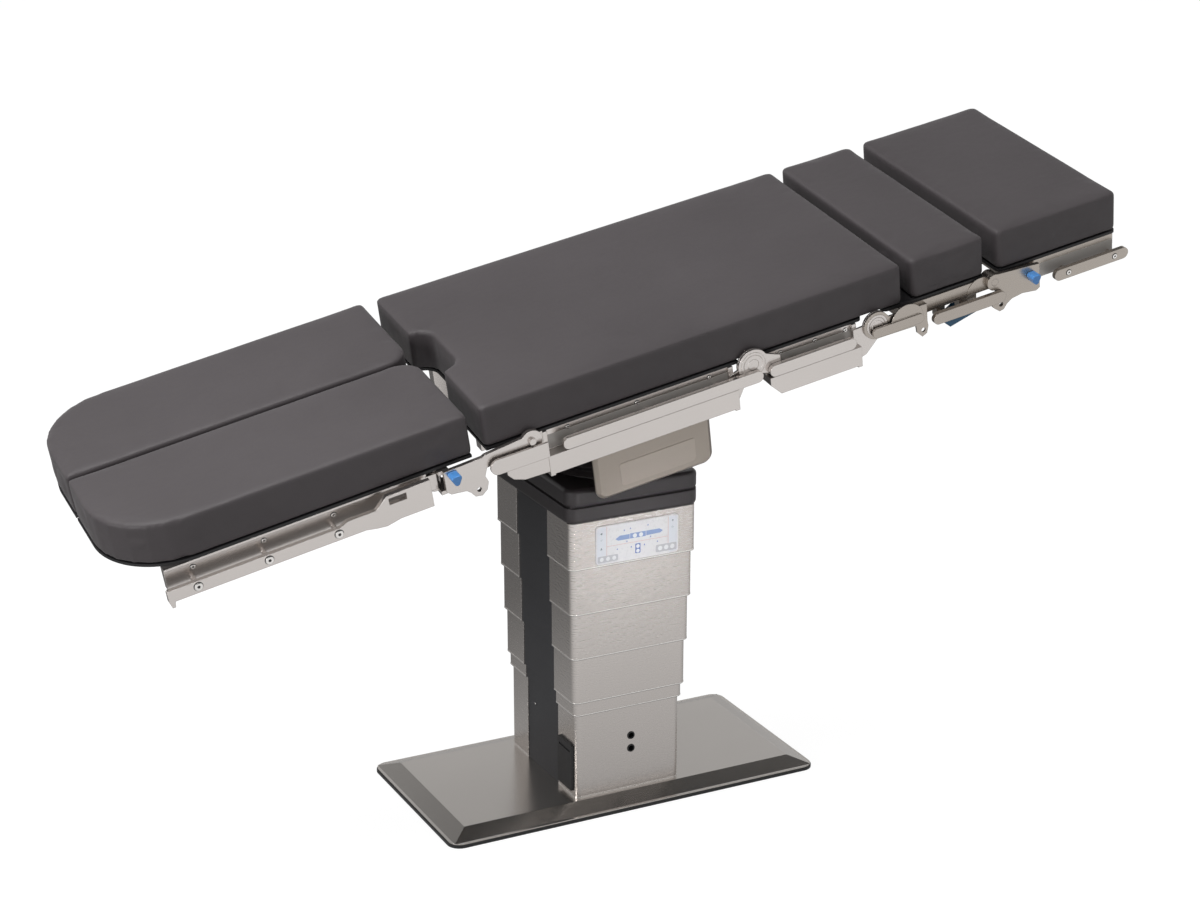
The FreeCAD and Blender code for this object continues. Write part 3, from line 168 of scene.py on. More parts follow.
FINISH = {
    "frame_steel": surface("frame_steel", srgb(216, 210, 206), 0.25, 0.96, vary=0.025, grain=700,
                           stretch=(0.05, 1, 1), bump=0.012, rough_vary=0.02, edge=0.0018),
    "cover_steel": surface("cover_steel", srgb(204, 198, 194), 0.27, 0.96, vary=0.008, tone_scale=3,
                           grain=1100, stretch=(0.04, 0.04, 1), bump=0.002, rough_vary=0.008, edge=0.001),
    "base_steel": surface("base_steel", srgb(204, 199, 194), 0.24, 0.98, vary=0.035, tone_scale=3, grain=900,
                          stretch=(0.04, 1, 1), bump=0.015, rough_vary=0.02, edge=0.0014),
    "head_steel": surface("head_steel", srgb(180, 172, 164), 0.27, 0.95, vary=0.03, grain=700,
                          stretch=(0.05, 1, 1), bump=0.012, rough_vary=0.02, edge=0.0018),
    # A less metallic copy of the steel for the webs: painted light, standing in for the bright reflection the
    # webs show
    "web_lit_steel": surface("web_lit_steel", srgb(188, 184, 180), 0.40, 0.30, vary=0.03, tone_scale=4, grain=700,
                         stretch=(0.05, 1, 1), bump=0.01, rough_vary=0.02, edge=0.0006),
    # A lighter, glossier copy of the steel: painted highlight on the screw heads and on the beads along the
    # covers' rims
    "highlight_steel": surface("highlight_steel", srgb(236, 233, 230), 0.16, 0.97, vary=0.02, grain=700, bump=0.01,
                          rough_vary=0.02, edge=0.0006),
    "channel": surface("channel", srgb(50, 50, 53), 0.50, vary=0.08, grain=500, bump=0.08, edge=0.0006),
    "collar_rubber": surface("collar_rubber", srgb(50, 45, 47), 0.40, vary=0.10, grain=600, bump=0.10,
                             edge=0.003),
    "hood": surface("hood", srgb(178, 168, 158), 0.36, 0.55, vary=0.02, grain=1200, bump=0.02, edge=0.003),
    # A lighter copy of the hood finish for its face plate: painted light, which leaves the hood's rim round
    # it darker as painted shade under the rail and on the bevel
    "hood_face_lit": surface("hood_face_lit", srgb(190, 180, 170), 0.32, 0.50, vary=0.02, grain=1200, bump=0.02,
                         edge=0.0006),
    "mast": surface("mast", srgb(190, 190, 190), 0.35, 0.9, vary=0.05, grain=500, stretch=(1, 1, 0.05)),
    "deck": surface("deck", srgb(34, 33, 35), 0.55, vary=0.15, grain=400, bump=0.1, edge=0.0006),
    "panel": surface("panel", srgb(241, 240, 243), 0.30, vary=0.01, grain=200, bump=0.01, coat=0.3),
    "black_plastic": surface("black_plastic", srgb(30, 30, 32), 0.48, vary=0.12, grain=800, bump=0.2,
                             edge=0.0006),
    "knob_blue": surface("knob_blue", srgb(92, 162, 238), 0.30, vary=0.08, grain=300, bump=0.03,
                         edge=0.0012, coat=0.3),
    "lever_blue": surface("lever_blue", srgb(14, 96, 138), 0.35, vary=0.08, grain=300, bump=0.03,
                          edge=0.001, coat=0.2),
}


def cushion_material():
    """Coated fabric: a fine pored skin, faint creases, and a soft satin bloom."""
    mat, nodes, links, shader, place = new_material("cushion")
    slow = noise(nodes, links, place, 2.6, 3.0)
    pores = nodes.new("ShaderNodeTexVoronoi")
    pores.inputs["Scale"].default_value = 620
    links.new(place, pores.inputs["Vector"])
    creases = noise(nodes, links, place, 34, 4.0, (1, 1.6, 1))
    links.new(tinted(nodes, links, slow, srgb(70, 65, 67), srgb(78, 73, 75)), shader.inputs["Base Color"])
    links.new(spread(nodes, links, creases, 0.46, 0.56), shader.inputs["Roughness"])
    shader.inputs["Sheen Weight"].default_value = 0.12
    shader.inputs["Sheen Roughness"].default_value = 0.45
    shader.inputs["Specular IOR Level"].default_value = 0.42
    skin = nodes.new("ShaderNodeBump")
    skin.inputs["Strength"].default_value = 0.10
    skin.inputs["Distance"].default_value = 0.0002
    links.new(pores.outputs["Distance"], skin.inputs["Height"])
    fold = nodes.new("ShaderNodeBump")
    fold.inputs["Strength"].default_value = 0.10
    fold.inputs["Distance"].default_value = 0.002
    links.new(creases, fold.inputs["Height"])
    links.new(fold.outputs["Normal"], skin.inputs["Normal"])
    links.new(skin.outputs["Normal"], shader.inputs["Normal"])
    return mat


FINISH["cushion"] = cushion_material()
slot_of = {row["node"]: row["material_slot"] for row in frame["record"]["subparts"]}
DARKER = ("upper_arms", "upper_rails", "head_brackets", "head_rails")
for node, obj in frame["nodes"].items():
    for place in obj.material_slots:
        place.material = FINISH["head_steel" if node in DARKER else slot_of[node]]


# Mesh helpers

def to_object(name, mesh_data, finish, body, smooth=True):
    """Takes a bmesh in world metres and makes it a piece riding on a body."""
    mesh = bpy.data.meshes.new(name)
    mesh_data.to_mesh(mesh)
    mesh_data.free()
    for face in mesh.polygons:
        face.use_smooth = smooth
    obj = bpy.data.objects.new(name, mesh)
    bpy.context.collection.objects.link(obj)
    mesh.materials.append(finish)
    if body:
        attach(obj, body)
    return obj


def rounded(corners, steps=6):
    """The outline of a polygon whose corners (x, y, radius) are rounded."""
    points = []
    count = len(corners)
    for index in range(count):
        before, here, after = (Vector(corners[(index + shift) % count][:2]) for shift in (-1, 0, 1))
        radius = corners[index][2]
        if not radius:
            points.append(here)
            continue
        to_before, to_after = (before - here).normalized(), (after - here).normalized()
        half = to_before.angle(to_after) / 2
        reach = radius / math.tan(half)
        centre = here + (to_before + to_after).normalized() * (radius / math.sin(half))
        first, last = here + to_before * reach - centre, here + to_after * reach - centre
        turn = first.angle_signed(last)
        for step in range(steps + 1):
            angle = -turn * step / steps
            points.append(centre + Vector((first.x * math.cos(angle) - first.y * math.sin(angle),
                                           first.x * math.sin(angle) + first.y * math.cos(angle))))
    return points


def prism(mesh_data, outline, low, high, place):
    """Adds a straight prism between two heights of a local frame: place maps (u, v, height)."""
    lower = [mesh_data.verts.new(place(u, v, low)) for u, v in outline]
    upper = [mesh_data.verts.new(place(u, v, high)) for u, v in outline]
    mesh_data.faces.new(lower[::-1])
    mesh_data.faces.new(upper)
    count = len(outline)
    for index in range(count):
        following = (index + 1) % count
        mesh_data.faces.new((lower[index], lower[following], upper[following], upper[index]))


def on_side(matrix, side):
    """Local (along, depth, outward from the middle) of one side of the top, to world metres."""
    return lambda u, v, w: matrix @ Vector((u * MM, side * w * MM, v * MM))


def upright(u, v, w):
    """World axes in millimetres to world metres."""
    return Vector((u * MM, v * MM, w * MM))


def flipped(mesh_data):
    """The same mesh with its normals outward."""
    bmesh.ops.recalc_face_normals(mesh_data, faces=mesh_data.faces[:])
    return mesh_data


# Cushions

HALF_WIDTH = 267.6
THICK = 88
SWELL = 1.8
VOXEL = 0.006
FRAMES = 20
TOP_EDGE, LOW_EDGE = 6.0, 2.5


def pad_blank(corners, swell):
    """A pad's blank: its outline, smaller by the swell, with bevelled rims."""
    blank = bmesh.new()
    outline = rounded(corners)
    prism(blank, [(p.x, p.y) for p in outline], -THICK + swell, -swell, upright)
    flipped(blank)
    middle = -THICK / 2 * MM
    for reach, above in ((TOP_EDGE, True), (LOW_EDGE, False)):
        rim = [edge for edge in blank.edges
               if all((vert.co.z > middle) == above for vert in edge.verts)]
        bmesh.ops.bevel(blank, geom=rim, offset=reach * MM, segments=3, profile=0.6, affect="EDGES")
    return blank


def inset_corners(corners, amount):
    """Moves every side of a convex or notched outline inward."""
    count = len(corners)
    moved = []
    for index in range(count):
        before, here, after = (Vector(corners[(index + shift) % count][:2]) for shift in (-1, 0, 1))
        in_dir, out_dir = (here - before).normalized(), (after - here).normalized()
        in_normal = Vector((-in_dir.y, in_dir.x))
        out_normal = Vector((-out_dir.y, out_dir.x))
        shift = (in_normal + out_normal) * (amount / (1 + in_normal.dot(out_normal)))
        spot = here + shift
        moved.append((spot.x, spot.y, corners[index][2]))
    return moved


def swollen(blank):
    """Blows the blank up with a cloth simulation, capped, and returns the new mesh."""
    source = bpy.data.meshes.new("blank")
    blank.to_mesh(source)
    blank.free()
    obj = bpy.data.objects.new("blank", source)
    bpy.context.collection.objects.link(obj)
    bpy.context.view_layer.objects.active = obj
    grid = obj.modifiers.new("grid", "REMESH")
    grid.mode = "VOXEL"
    grid.voxel_size = VOXEL
    bpy.ops.object.modifier_apply(modifier=grid.name)
    start = [v.co.copy() for v in obj.data.vertices]
    cloth = obj.modifiers.new("cloth", "CLOTH")
    settings = cloth.settings
    settings.use_pressure = True
    settings.uniform_pressure_force = 4
    settings.quality = 4
    settings.tension_stiffness = 25
    settings.compression_stiffness = 25
    settings.bending_stiffness = 2
    settings.effector_weights.gravity = 0
    scene = bpy.context.scene
    for step in range(1, FRAMES + 1):
        scene.frame_set(step)
    shaped = obj.evaluated_get(bpy.context.evaluated_depsgraph_get())
    grown = [v.co.copy() for v in shaped.data.vertices]
    obj.modifiers.remove(cloth)
    scene.frame_set(1)
    cap = SWELL * MM
    for vertex, old, new in zip(obj.data.vertices, start, grown):
        move = new - old
        if move.length > cap:
            move *= cap / move.length
        vertex.co = old + move
    smooth = obj.modifiers.new("smooth", "SUBSURF")
    smooth.levels = 1
    bpy.ops.object.modifier_apply(modifier=smooth.name)
    result = bmesh.new()
    result.from_mesh(obj.data)
    bpy.data.objects.remove(obj)
    return result


def make_pad(corners):
    return swollen(pad_blank(inset_corners(corners, SWELL), SWELL))


def finish_pad(name, mesh_data, matrix, nodes, bodies=None, body=None):
    """Places a pad and hides the CAD parts that it stands in for; a pad given a body rides on it."""
    mesh_data.transform(matrix)
    obj = to_object(name, mesh_data, FINISH["cushion"], body)
    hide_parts(*nodes)
    if bodies:
        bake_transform(obj)
    return obj


def rectangle(foot, head, low, high, radius=14):
    return [(foot, low, radius), (head, low, radius), (head, high, radius), (foot, high, radius)]


MAIN_FOOT, MAIN_HEAD, MAIN_SPLIT = -344.8, 589, 400
CUT_HALF, CUT_DEEP = 86, 38
main_corners = [
    (MAIN_FOOT, -HALF_WIDTH, 12), (MAIN_HEAD, -HALF_WIDTH, 12), (MAIN_HEAD, HALF_WIDTH, 12),
    (MAIN_FOOT, HALF_WIDTH, 12), (MAIN_FOOT, CUT_HALF, 8), (MAIN_FOOT + CUT_DEEP, CUT_HALF - 14, 34),
    (MAIN_FOOT + CUT_DEEP, 14 - CUT_HALF, 34), (MAIN_FOOT, -CUT_HALF, 8)]
main = make_pad(main_corners)


def one_end(mesh_data, keep_foot):
    """The part of the long pad on one side of the split, closed again at the cut."""
    piece = mesh_data.copy()
    bmesh.ops.bisect_plane(piece, geom=piece.verts[:] + piece.edges[:] + piece.faces[:],
                           plane_co=(MAIN_SPLIT * MM, 0, 0), plane_no=(1, 0, 0),
                           clear_outer=keep_foot, clear_inner=not keep_foot)
    rim = [edge for edge in piece.edges if edge.is_boundary]
    cap = bmesh.ops.contextual_create(piece, geom=rim)["faces"]
    for edge in rim:
        edge.smooth = False
    for face in cap:
        face.smooth = False
    return piece


foot_half, head_half = one_end(main, True), one_end(main, False)
main.free()
finish_pad("main_pad_seat", foot_half, TOP, ["main_cushion_seat"], ("seat", "back"))
finish_pad("main_pad_back", head_half, TOP, ["main_cushion_back", "main_cushion_bends"],
           ("back", "upper_back"))
finish_pad("upper_pad", make_pad(rectangle(606.7, 784.2, -HALF_WIDTH, HALF_WIDTH)), TOP,
           ["upper_cushion", "upper_cushion_flex"], ("upper_back", "head"))
finish_pad("head_pad", make_pad(rectangle(810.1, 1110.5, -HALF_WIDTH, HALF_WIDTH)), TOP,
           ["head_cushion"], ("upper_back", "head"))

LEG_FOOT, LEG_HEAD = -1079, -364.5
for name, side in SIDES.items():
    edge = HALF_WIDTH + (5 if side > 0 else 0)
    corners = [(LEG_FOOT, 1.5, 6), (LEG_HEAD, 1.5, 50), (LEG_HEAD, edge, 10), (LEG_FOOT, edge, 150)]
    if side < 0:
        corners = [(x, -y, r) for x, y, r in reversed(corners)]
    finish_pad(f"leg_pad_{name}", make_pad(corners), LEG, [f"leg_cushion_{name}"], body=f"leg_{name}")


# Small fittings

def ring_of(mesh_data, place, centre, radius, height, count):
    """The vertices of a regular outline about a centre, at one height of a local frame."""
    return [mesh_data.verts.new(place(centre[0] + radius * math.cos(2 * math.pi * k / count),
                                      centre[1] + radius * math.sin(2 * math.pi * k / count), height))
            for k in range(count)]


def turned(mesh_data, place, centre, profile, segments=32):
    """A turned solid about a local outward axis; profile is (radius, height) from the axis out and back."""
    rings = [ring_of(mesh_data, place, centre, radius, height, segments if radius else 1)
             for radius, height in profile]
    for first, second in zip(rings, rings[1:]):
        for k in range(segments):
            following = (k + 1) % segments
            ring = []
            for vert in (first[k % len(first)], first[following % len(first)],
                         second[following % len(second)], second[k % len(second)]):
                if vert not in ring:
                    ring.append(vert)
            if len(ring) > 2:
                mesh_data.faces.new(ring)


SCREW_SEGMENTS = 24
# Black discs of painted shade under and inside each screw head: how far the ring reaches past the head, and
# how thick the discs are
SHADE_RING_LIP, DISC = 1.1, 0.25
SHOULDER, CROWN, SOCKET, SOCKET_FLOOR = 0.7, 0.86, 0.45, 0.35
HEXAGON, SOCKET_LIP = 0.9, 0.2


def socket_walls(heads, place, spot, bore, top, deep):
    """The hexagonal hole of a screw head: its chamfer, its walls and its floor."""
    rim = ring_of(heads, place, spot, bore, top, SCREW_SEGMENTS)
    mouth = ring_of(heads, place, spot, bore * HEXAGON, top - SOCKET_LIP, 6)
    floor = ring_of(heads, place, spot, bore * HEXAGON, deep, 6)
    for k in range(6):
        following = (k + 1) % 6
        heads.faces.new((mouth[k], mouth[following], floor[following], floor[k]))
        for step in range(4):
            a, b = (rim[(k * 4 + step + shift) % SCREW_SEGMENTS] for shift in (0, 1))
            heads.faces.new((a, b, mouth[k if step < 2 else following]))
        heads.faces.new((rim[(k * 4 + 2) % SCREW_SEGMENTS], mouth[k], mouth[following]))
    heads.faces.new(floor)


def screws(name, spots, place, low, radius, height, body):
    """Cap screws with a hexagonal socket, standing on a face at the given outward distance, with black discs
    of painted shade round their feet and deep in their sockets.
    """
    heads, shade_discs = bmesh.new(), bmesh.new()
    top, deep, bore = low + height, low + height * SOCKET_FLOOR, radius * SOCKET
    dark, bottom = radius + SHADE_RING_LIP, deep + 0.05
    for spot in spots:
        turned(heads, place, spot, [(0, low), (radius, low), (radius, low + height * SHOULDER),
                                    (radius * CROWN, top), (bore, top)], SCREW_SEGMENTS)
        socket_walls(heads, place, spot, bore, top, deep)
        # Painted shade: a black ring round the head's foot, and a black disc deep in the socket
        turned(shade_discs, place, spot, [(0, low), (dark, low), (dark, low + DISC), (0, low + DISC)])
        turned(shade_discs, place, spot, [(0, bottom), (bore * 0.82, bottom), (bore * 0.82, bottom + 0.2),
                                    (0, bottom + 0.2)], 6)
    bmesh.ops.remove_doubles(heads, verts=heads.verts[:], dist=1e-6)
    to_object(name, flipped(heads), FINISH["highlight_steel"], body, smooth=False)
    to_object(f"{name}_seats", flipped(shade_discs), FINISH["black_plastic"], body, smooth=False)


RAIL_FACE, WEB_FACE, BAR_FACE, CAP_FACE = 289.0, 262.0, 258.0, 278.05

# Rows of screws: name, places along the top, depth below it, face, head radius and height, body
LEG_SCREWS = (("leg_rail_screws", (-940, -801, -662), -136, RAIL_FACE, 8.2, 3.4),
              ("leg_bar_screws", (-935, -796, -657), -112, BAR_FACE, 5.0, 2.2))
TOP_SCREWS = (("head_rail_screws", (970, 1085), -133.5, RAIL_FACE, 5.5, 1.8, "head"),
              ("seat_web_screws", (-170, -20, 140), -104, WEB_FACE, 4.2, 1.8, "seat"),
              ("back_web_screws", (300, 380, 450), -104, WEB_FACE, 4.2, 1.8, "back"))
HINGE_CAPS = (("back_hinge_cap", (230.5, -100), 27, "back"),
              ("upper_hinge_cap", (514.8, -109), 24, "upper_back"))
CAP_HEIGHT, CAP_HUB = 0.8, 11

for name, side in SIDES.items():
    top_side, leg_side = on_side(TOP, side), on_side(LEG, side)
    for label, places, depth, face, radius, height in LEG_SCREWS:
        screws(f"{label}_{name}", [(x, depth) for x in places], leg_side, face, radius, height, f"leg_{name}")
    for label, places, depth, face, radius, height, body in TOP_SCREWS:
        screws(f"{label}_{name}", [(x, depth) for x in places], top_side, face, radius, height, body)
    for label, spot, radius, body in HINGE_CAPS:
        cap = bmesh.new()
        low, high, sunk = CAP_FACE, CAP_FACE + CAP_HEIGHT, CAP_FACE + 0.35
        turned(cap, top_side, spot, [
            (0, low), (radius, low), (radius, low + 0.5), (radius - 1.2, high), (radius - 5, high),
            (radius - 6, sunk), (CAP_HUB + 1, sunk), (CAP_HUB, high), (0, high)], 48)
        to_object(f"{label}_{name}", flipped(cap), FINISH["frame_steel"], body, smooth=False)


# Links between the hinges of the upper back section

LINK_FACE = 282.0
HALF_DISCS = (((583, -120), 38, LINK_FACE, LINK_FACE + 1.6),
              ((768, -121), 32, WEB_FACE + 5.2, WEB_FACE + 6.2))
for name, side in SIDES.items():
    top_side = on_side(TOP, side)
    sheet = bmesh.new()
    for (x, z), radius, low, high in HALF_DISCS:
        arc = [(x + radius * math.cos(math.pi * k / 24), z + radius * math.sin(math.pi * k / 24))
               for k in range(25)]
        prism(sheet, arc, low, high, top_side)
    bar = rounded([(500, -111, 10), (500, -132, 10), (620, -132, 10), (620, -111, 10)])
    prism(sheet, [(p.x, p.y) for p in bar], LINK_FACE - 0.2, LINK_FACE + 5, top_side)
    to_object(f"upper_link_{name}", flipped(sheet), FINISH["head_steel"], "upper_back", smooth=False)


# Release lever: its paddles hang below the upper rails, on one shaft

LEVER_HINGE = (750.2, -141)
LEVER_OUTER, LEVER_SHAFT = 249, 6
lever = bmesh.new()
paddle = [(LEVER_HINGE[0] + u, LEVER_HINGE[1] + v)
          for u, v in ((6, 5), (25, -24), (24, -34), (-45, -50), (-66, -29), (-30, -8))]
for side in SIDES.values():
    prism(lever, paddle, LEVER_OUTER - 20, LEVER_OUTER, on_side(TOP, side))
shaft = [(LEVER_HINGE[0] + LEVER_SHAFT * math.cos(math.pi * k / 12),
          LEVER_HINGE[1] + LEVER_SHAFT * math.sin(math.pi * k / 12)) for k in range(24)]
prism(lever, shaft, -LEVER_OUTER - 12, LEVER_OUTER + 12, on_side(TOP, 1))
lever = to_object("release_paddles", flipped(lever), FINISH["lever_blue"], "release", smooth=False)
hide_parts("release_lever")


# Black rim under the floor plate

RIM_LONG, RIM_WIDE, RIM_HIGH, RIM_CORNER = 426, 215, 6, 28
rim = bmesh.new()
outline = rounded([(-RIM_LONG, -RIM_WIDE, RIM_CORNER), (RIM_LONG, -RIM_WIDE, RIM_CORNER),
                   (RIM_LONG, RIM_WIDE, RIM_CORNER), (-RIM_LONG, RIM_WIDE, RIM_CORNER)])
prism(rim, [(p.x, p.y) for p in outline], 0, RIM_HIGH, upright)
rim = to_object("floor_rim", flipped(rim), FINISH["black_plastic"], "base", smooth=False)
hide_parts("base_rim")


# Trims of the column and hoods, and the painted light and shade on them

SHELL_CORNER, SHELL_FOOT = 13.0, 74.5
# The black strip of painted shadow under each cover's rim: how far in it reaches, and how tall it is
SHADOW_STRIP_DEPTH, SHADOW_STRIP_HEIGHT = 2.2, 1.0
BEAD_PROUD, BEAD_DEPTH, BEAD_HEIGHT = 0.7, 0.8, 2.2
TRIMMED = {"cover_1_shells": "column_head", "cover_2_shells": "cover_2", "cover_3_shells": "cover_3",
           "cover_4_shells": "cover_4", "cover_5_shells": "cover_5", "housing_shells": "base"}


def shell_band(mesh_data, half, proud, deep, low, high):
    """A band along both half shells of a cover, from a little proud of them to some way inside."""
    long, wide = half
    for side in (-1, 1):
        outline = rounded([
            (-long - proud, -SHELL_FOOT, 0), (-long - proud, -wide - proud, SHELL_CORNER + proud),
            (long + proud, -wide - proud, SHELL_CORNER + proud), (long + proud, -SHELL_FOOT, 0),
            (long - deep, -SHELL_FOOT, 0), (long - deep, deep - wide, SHELL_CORNER - deep),
            (deep - long, deep - wide, SHELL_CORNER - deep), (deep - long, -SHELL_FOOT, 0)])
        prism(mesh_data, [(p.x, -side * p.y) for p in outline], low, high, upright)


for node, body in TRIMMED.items():
    low_corner, high_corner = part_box(node)
    half = (high_corner[0] / MM, high_corner[1] / MM)
    low = low_corner[2] / MM
    # A bead along the lower rim of each shell, in the lighter steel: painted highlight
    bead = bmesh.new()
    shell_band(bead, half, BEAD_PROUD, BEAD_DEPTH, low, low + BEAD_HEIGHT)
    to_object(f"{node}_bead", flipped(bead), FINISH["highlight_steel"], body, smooth=False)
    # Under each moving cover's rim, a black strip: painted shadow of the rim on the cover below
    if body != "base":
        shadow_strip = bmesh.new()
        shell_band(shadow_strip, half, -0.3, SHADOW_STRIP_DEPTH, low - SHADOW_STRIP_HEIGHT, low - 0.1)
        to_object(f"{node}_seal", flipped(shadow_strip), FINISH["black_plastic"], body, smooth=False)

HOOD_FACE = 236.0
# Sheets over the rails' webs, in the matte copy of the steel: painted reflection
WEB_TOP, WEB_LOW = -107, -138
WEBS = {"seat": (-220, 186), "back": (268, 466), "head": (872, 1098)}
for name, side in SIDES.items():
    for body, (foot, head) in WEBS.items():
        sheet = bmesh.new()
        prism(sheet, [(foot, WEB_TOP), (head, WEB_TOP), (head, WEB_LOW), (foot, WEB_LOW)],
              WEB_FACE - 0.3, WEB_FACE + 0.4, on_side(TOP, side))
        to_object(f"{body}_web_{name}", flipped(sheet), FINISH["web_lit_steel"], body, smooth=False)
    # The hood's face plate, in the lighter copy of the hood finish: painted light
    sheet = bmesh.new()
    outline = rounded([(-60, -246, 4), (108, -246, 4), (108, -298, 10), (-60, -298, 10)])
    prism(sheet, [(p.x, p.y) for p in outline], HOOD_FACE - 0.2, HOOD_FACE + 0.9, on_side(TOP, side))
    to_object(f"hood_face_lit_{name}", flipped(sheet), FINISH["hood_face_lit"], "carriage", smooth=False)


def on_left_channel(u, v, w):
    """The column's foot side: u toward the near side, v up, w outward, in millimetres."""
    return Vector((-(119.2 + w) * MM, -u * MM, v * MM))


screws("channel_screw", [(-40.6, 159.8)], on_left_channel, 0.0, 2.6, 1.2, "base")


# Control panel

PANEL_FACE = -181.9
PANEL_X, PANEL_Z = (-87.0, 101.0), (543.0, 625.0)


def on_panel(u, v, w):
    """Panel coordinates from its lower left corner, in millimetres, and height above its face."""
    return Vector(((PANEL_X[0] + u) * MM, (PANEL_FACE - w) * MM, (PANEL_Z[0] + v) * MM))


def ink(name, colour):
    return surface(name, colour, 0.35, vary=0.03, grain=300, bump=0.02)


INK = {
    "blue": ink("ink_blue", srgb(150, 172, 216)), "line_blue": ink("ink_line", srgb(120, 146, 205)),
    "red": ink("ink_red", srgb(222, 178, 178)), "grey": ink("ink_grey", srgb(206, 206, 212)),
    "white": ink("ink_white", srgb(244, 245, 248)), "dark": ink("ink_dark", srgb(70, 96, 110)),
    "pale": ink("ink_pale", srgb(234, 236, 243)),
}


def plate(name, colour, outlines, low=0.0, high=0.15):
    """Printed shapes on the panel, as thin plates."""
    sheet = bmesh.new()
    for outline in outlines:
        prism(sheet, outline, low, high, on_panel)
    flipped(sheet)
    return to_object(f"panel_{name}", sheet, INK[colour], "column_head", smooth=False)


def block(x0, x1, y0, y1, radius=0.0):
    """A rectangle with rounded corners, on the panel."""
    corners = [(x0, y0, radius), (x1, y0, radius), (x1, y1, radius), (x0, y1, radius)]
    return [(p.x, p.y) for p in rounded(corners, 4)]


def circle(x, y, radius, count=24):
    return [(x + radius * math.cos(2 * math.pi * k / count), y + radius * math.sin(2 * math.pi * k / count))
            for k in range(count)]


def arrow(x, y, size, turn):
    """A plain triangle that points the given way, in degrees."""
    corners = [(1, 0), (-0.7, 0.8), (-0.7, -0.8)]
    angle = math.radians(turn)
    return [(x + size * (u * math.cos(angle) - v * math.sin(angle)),
             y + size * (u * math.sin(angle) + v * math.cos(angle))) for u, v in corners]


plate("sides", "pale", [block(3, 22, 3, 79, 2), block(166, 185, 3, 79, 2)])
plate("lines", "red", [block(24, 24.6, 14, 79), block(164, 164.6, 14, 79), block(24, 164, 37, 37.6)])
plate("keys_bed", "grey", [block(4, 50, 4, 18, 3), block(136, 184, 6, 22, 3)], 0.15, 0.3)
plate("keys", "white", [circle(13, 11, 4.4), circle(27, 11, 4.4), circle(41, 11, 4.4),
                        circle(146, 14, 5), circle(160, 14, 5), circle(174, 14, 5)], 0.3, 0.45)
plate("table_picture", "blue", [
    [(44, 50), (50, 46), (76, 46), (76, 56), (54, 56)], [(77, 46), (113, 46), (113, 57), (77, 57)],
    [(114, 47), (146, 48), (152, 52), (144, 57), (114, 57)]])
plate("column_picture", "line_blue", [block(89, 101, 12, 33, 2)])
plate("picture_keys", "white", [circle(88, 51, 4.6), circle(102, 51, 4.6), circle(95, 27, 4),
                                circle(95, 17, 4)], 0.15, 0.3)
plate("arrows", "dark", [arrow(12, 66, 3, 180), arrow(12, 52, 3.4, 180), arrow(12, 34, 3, 90),
                         arrow(175, 70, 2.6, 0), arrow(175, 56, 3.4, 0)])
plate("small_arrows", "line_blue", [
    arrow(64, 66, 2, 90), arrow(78, 68, 2, 90), arrow(118, 69, 2, 60), arrow(70, 41, 2, -90),
    arrow(124, 43, 2, -90), arrow(80, 28, 2.2, 90), arrow(110, 28, 2.2, 90), arrow(48, 28, 2, 180),
    arrow(140, 30, 2, 0)])


# Stage, lights and camera

def stage_floor():
    """A pale floor: near white to the camera, with the part's shadow, and darker behind for the steel."""
    mat = bpy.data.materials.new("floor")
    mat.use_nodes = True
    nodes, links = mat.node_tree.nodes, mat.node_tree.links
    nodes.clear()
    out = nodes.new("ShaderNodeOutputMaterial")
    seen, glow = nodes.new("ShaderNodeBsdfDiffuse"), nodes.new("ShaderNodeEmission")
    seen.inputs["Color"].default_value = (0.92, 0.92, 0.92, 1)
    glow.inputs["Strength"].default_value = 1.12
    paper = nodes.new("ShaderNodeMixShader")
    paper.inputs["Fac"].default_value = 0.82
    links.new(seen.outputs[0], paper.inputs[1])
    links.new(glow.outputs[0], paper.inputs[2])
    place = nodes.new("ShaderNodeNewGeometry")
    parts = nodes.new("ShaderNodeSeparateXYZ")
    links.new(place.outputs["Position"], parts.inputs[0])
    fade = nodes.new("ShaderNodeMapRange")
    fade.inputs["From Min"].default_value = -1.2
    fade.inputs["From Max"].default_value = 1.0
    fade.inputs["To Min"].default_value = 0.86
    fade.inputs["To Max"].default_value = 0.16
    links.new(parts.outputs["Y"], fade.inputs["Value"])
    mirrored = nodes.new("ShaderNodeEmission")
    links.new(fade.outputs[0], mirrored.inputs["Strength"])
    lit = nodes.new("ShaderNodeBsdfDiffuse")
    lit.inputs["Color"].default_value = (0.22, 0.22, 0.22, 1)
    path = nodes.new("ShaderNodeLightPath")
    bounce, mix = nodes.new("ShaderNodeMixShader"), nodes.new("ShaderNodeMixShader")
    links.new(path.outputs["Is Glossy Ray"], bounce.inputs["Fac"])
    links.new(lit.outputs[0], bounce.inputs[1])
    links.new(mirrored.outputs[0], bounce.inputs[2])
    links.new(path.outputs["Is Camera Ray"], mix.inputs["Fac"])
    links.new(bounce.outputs[0], mix.inputs[1])
    links.new(paper.outputs[0], mix.inputs[2])
    links.new(mix.outputs[0], out.inputs["Surface"])
    mesh = bmesh.new()
    bmesh.ops.create_grid(mesh, x_segments=1, y_segments=1, size=30)
    floor = to_object("floor", mesh, mat, None, smooth=False)
    floor.location.z = -0.0005


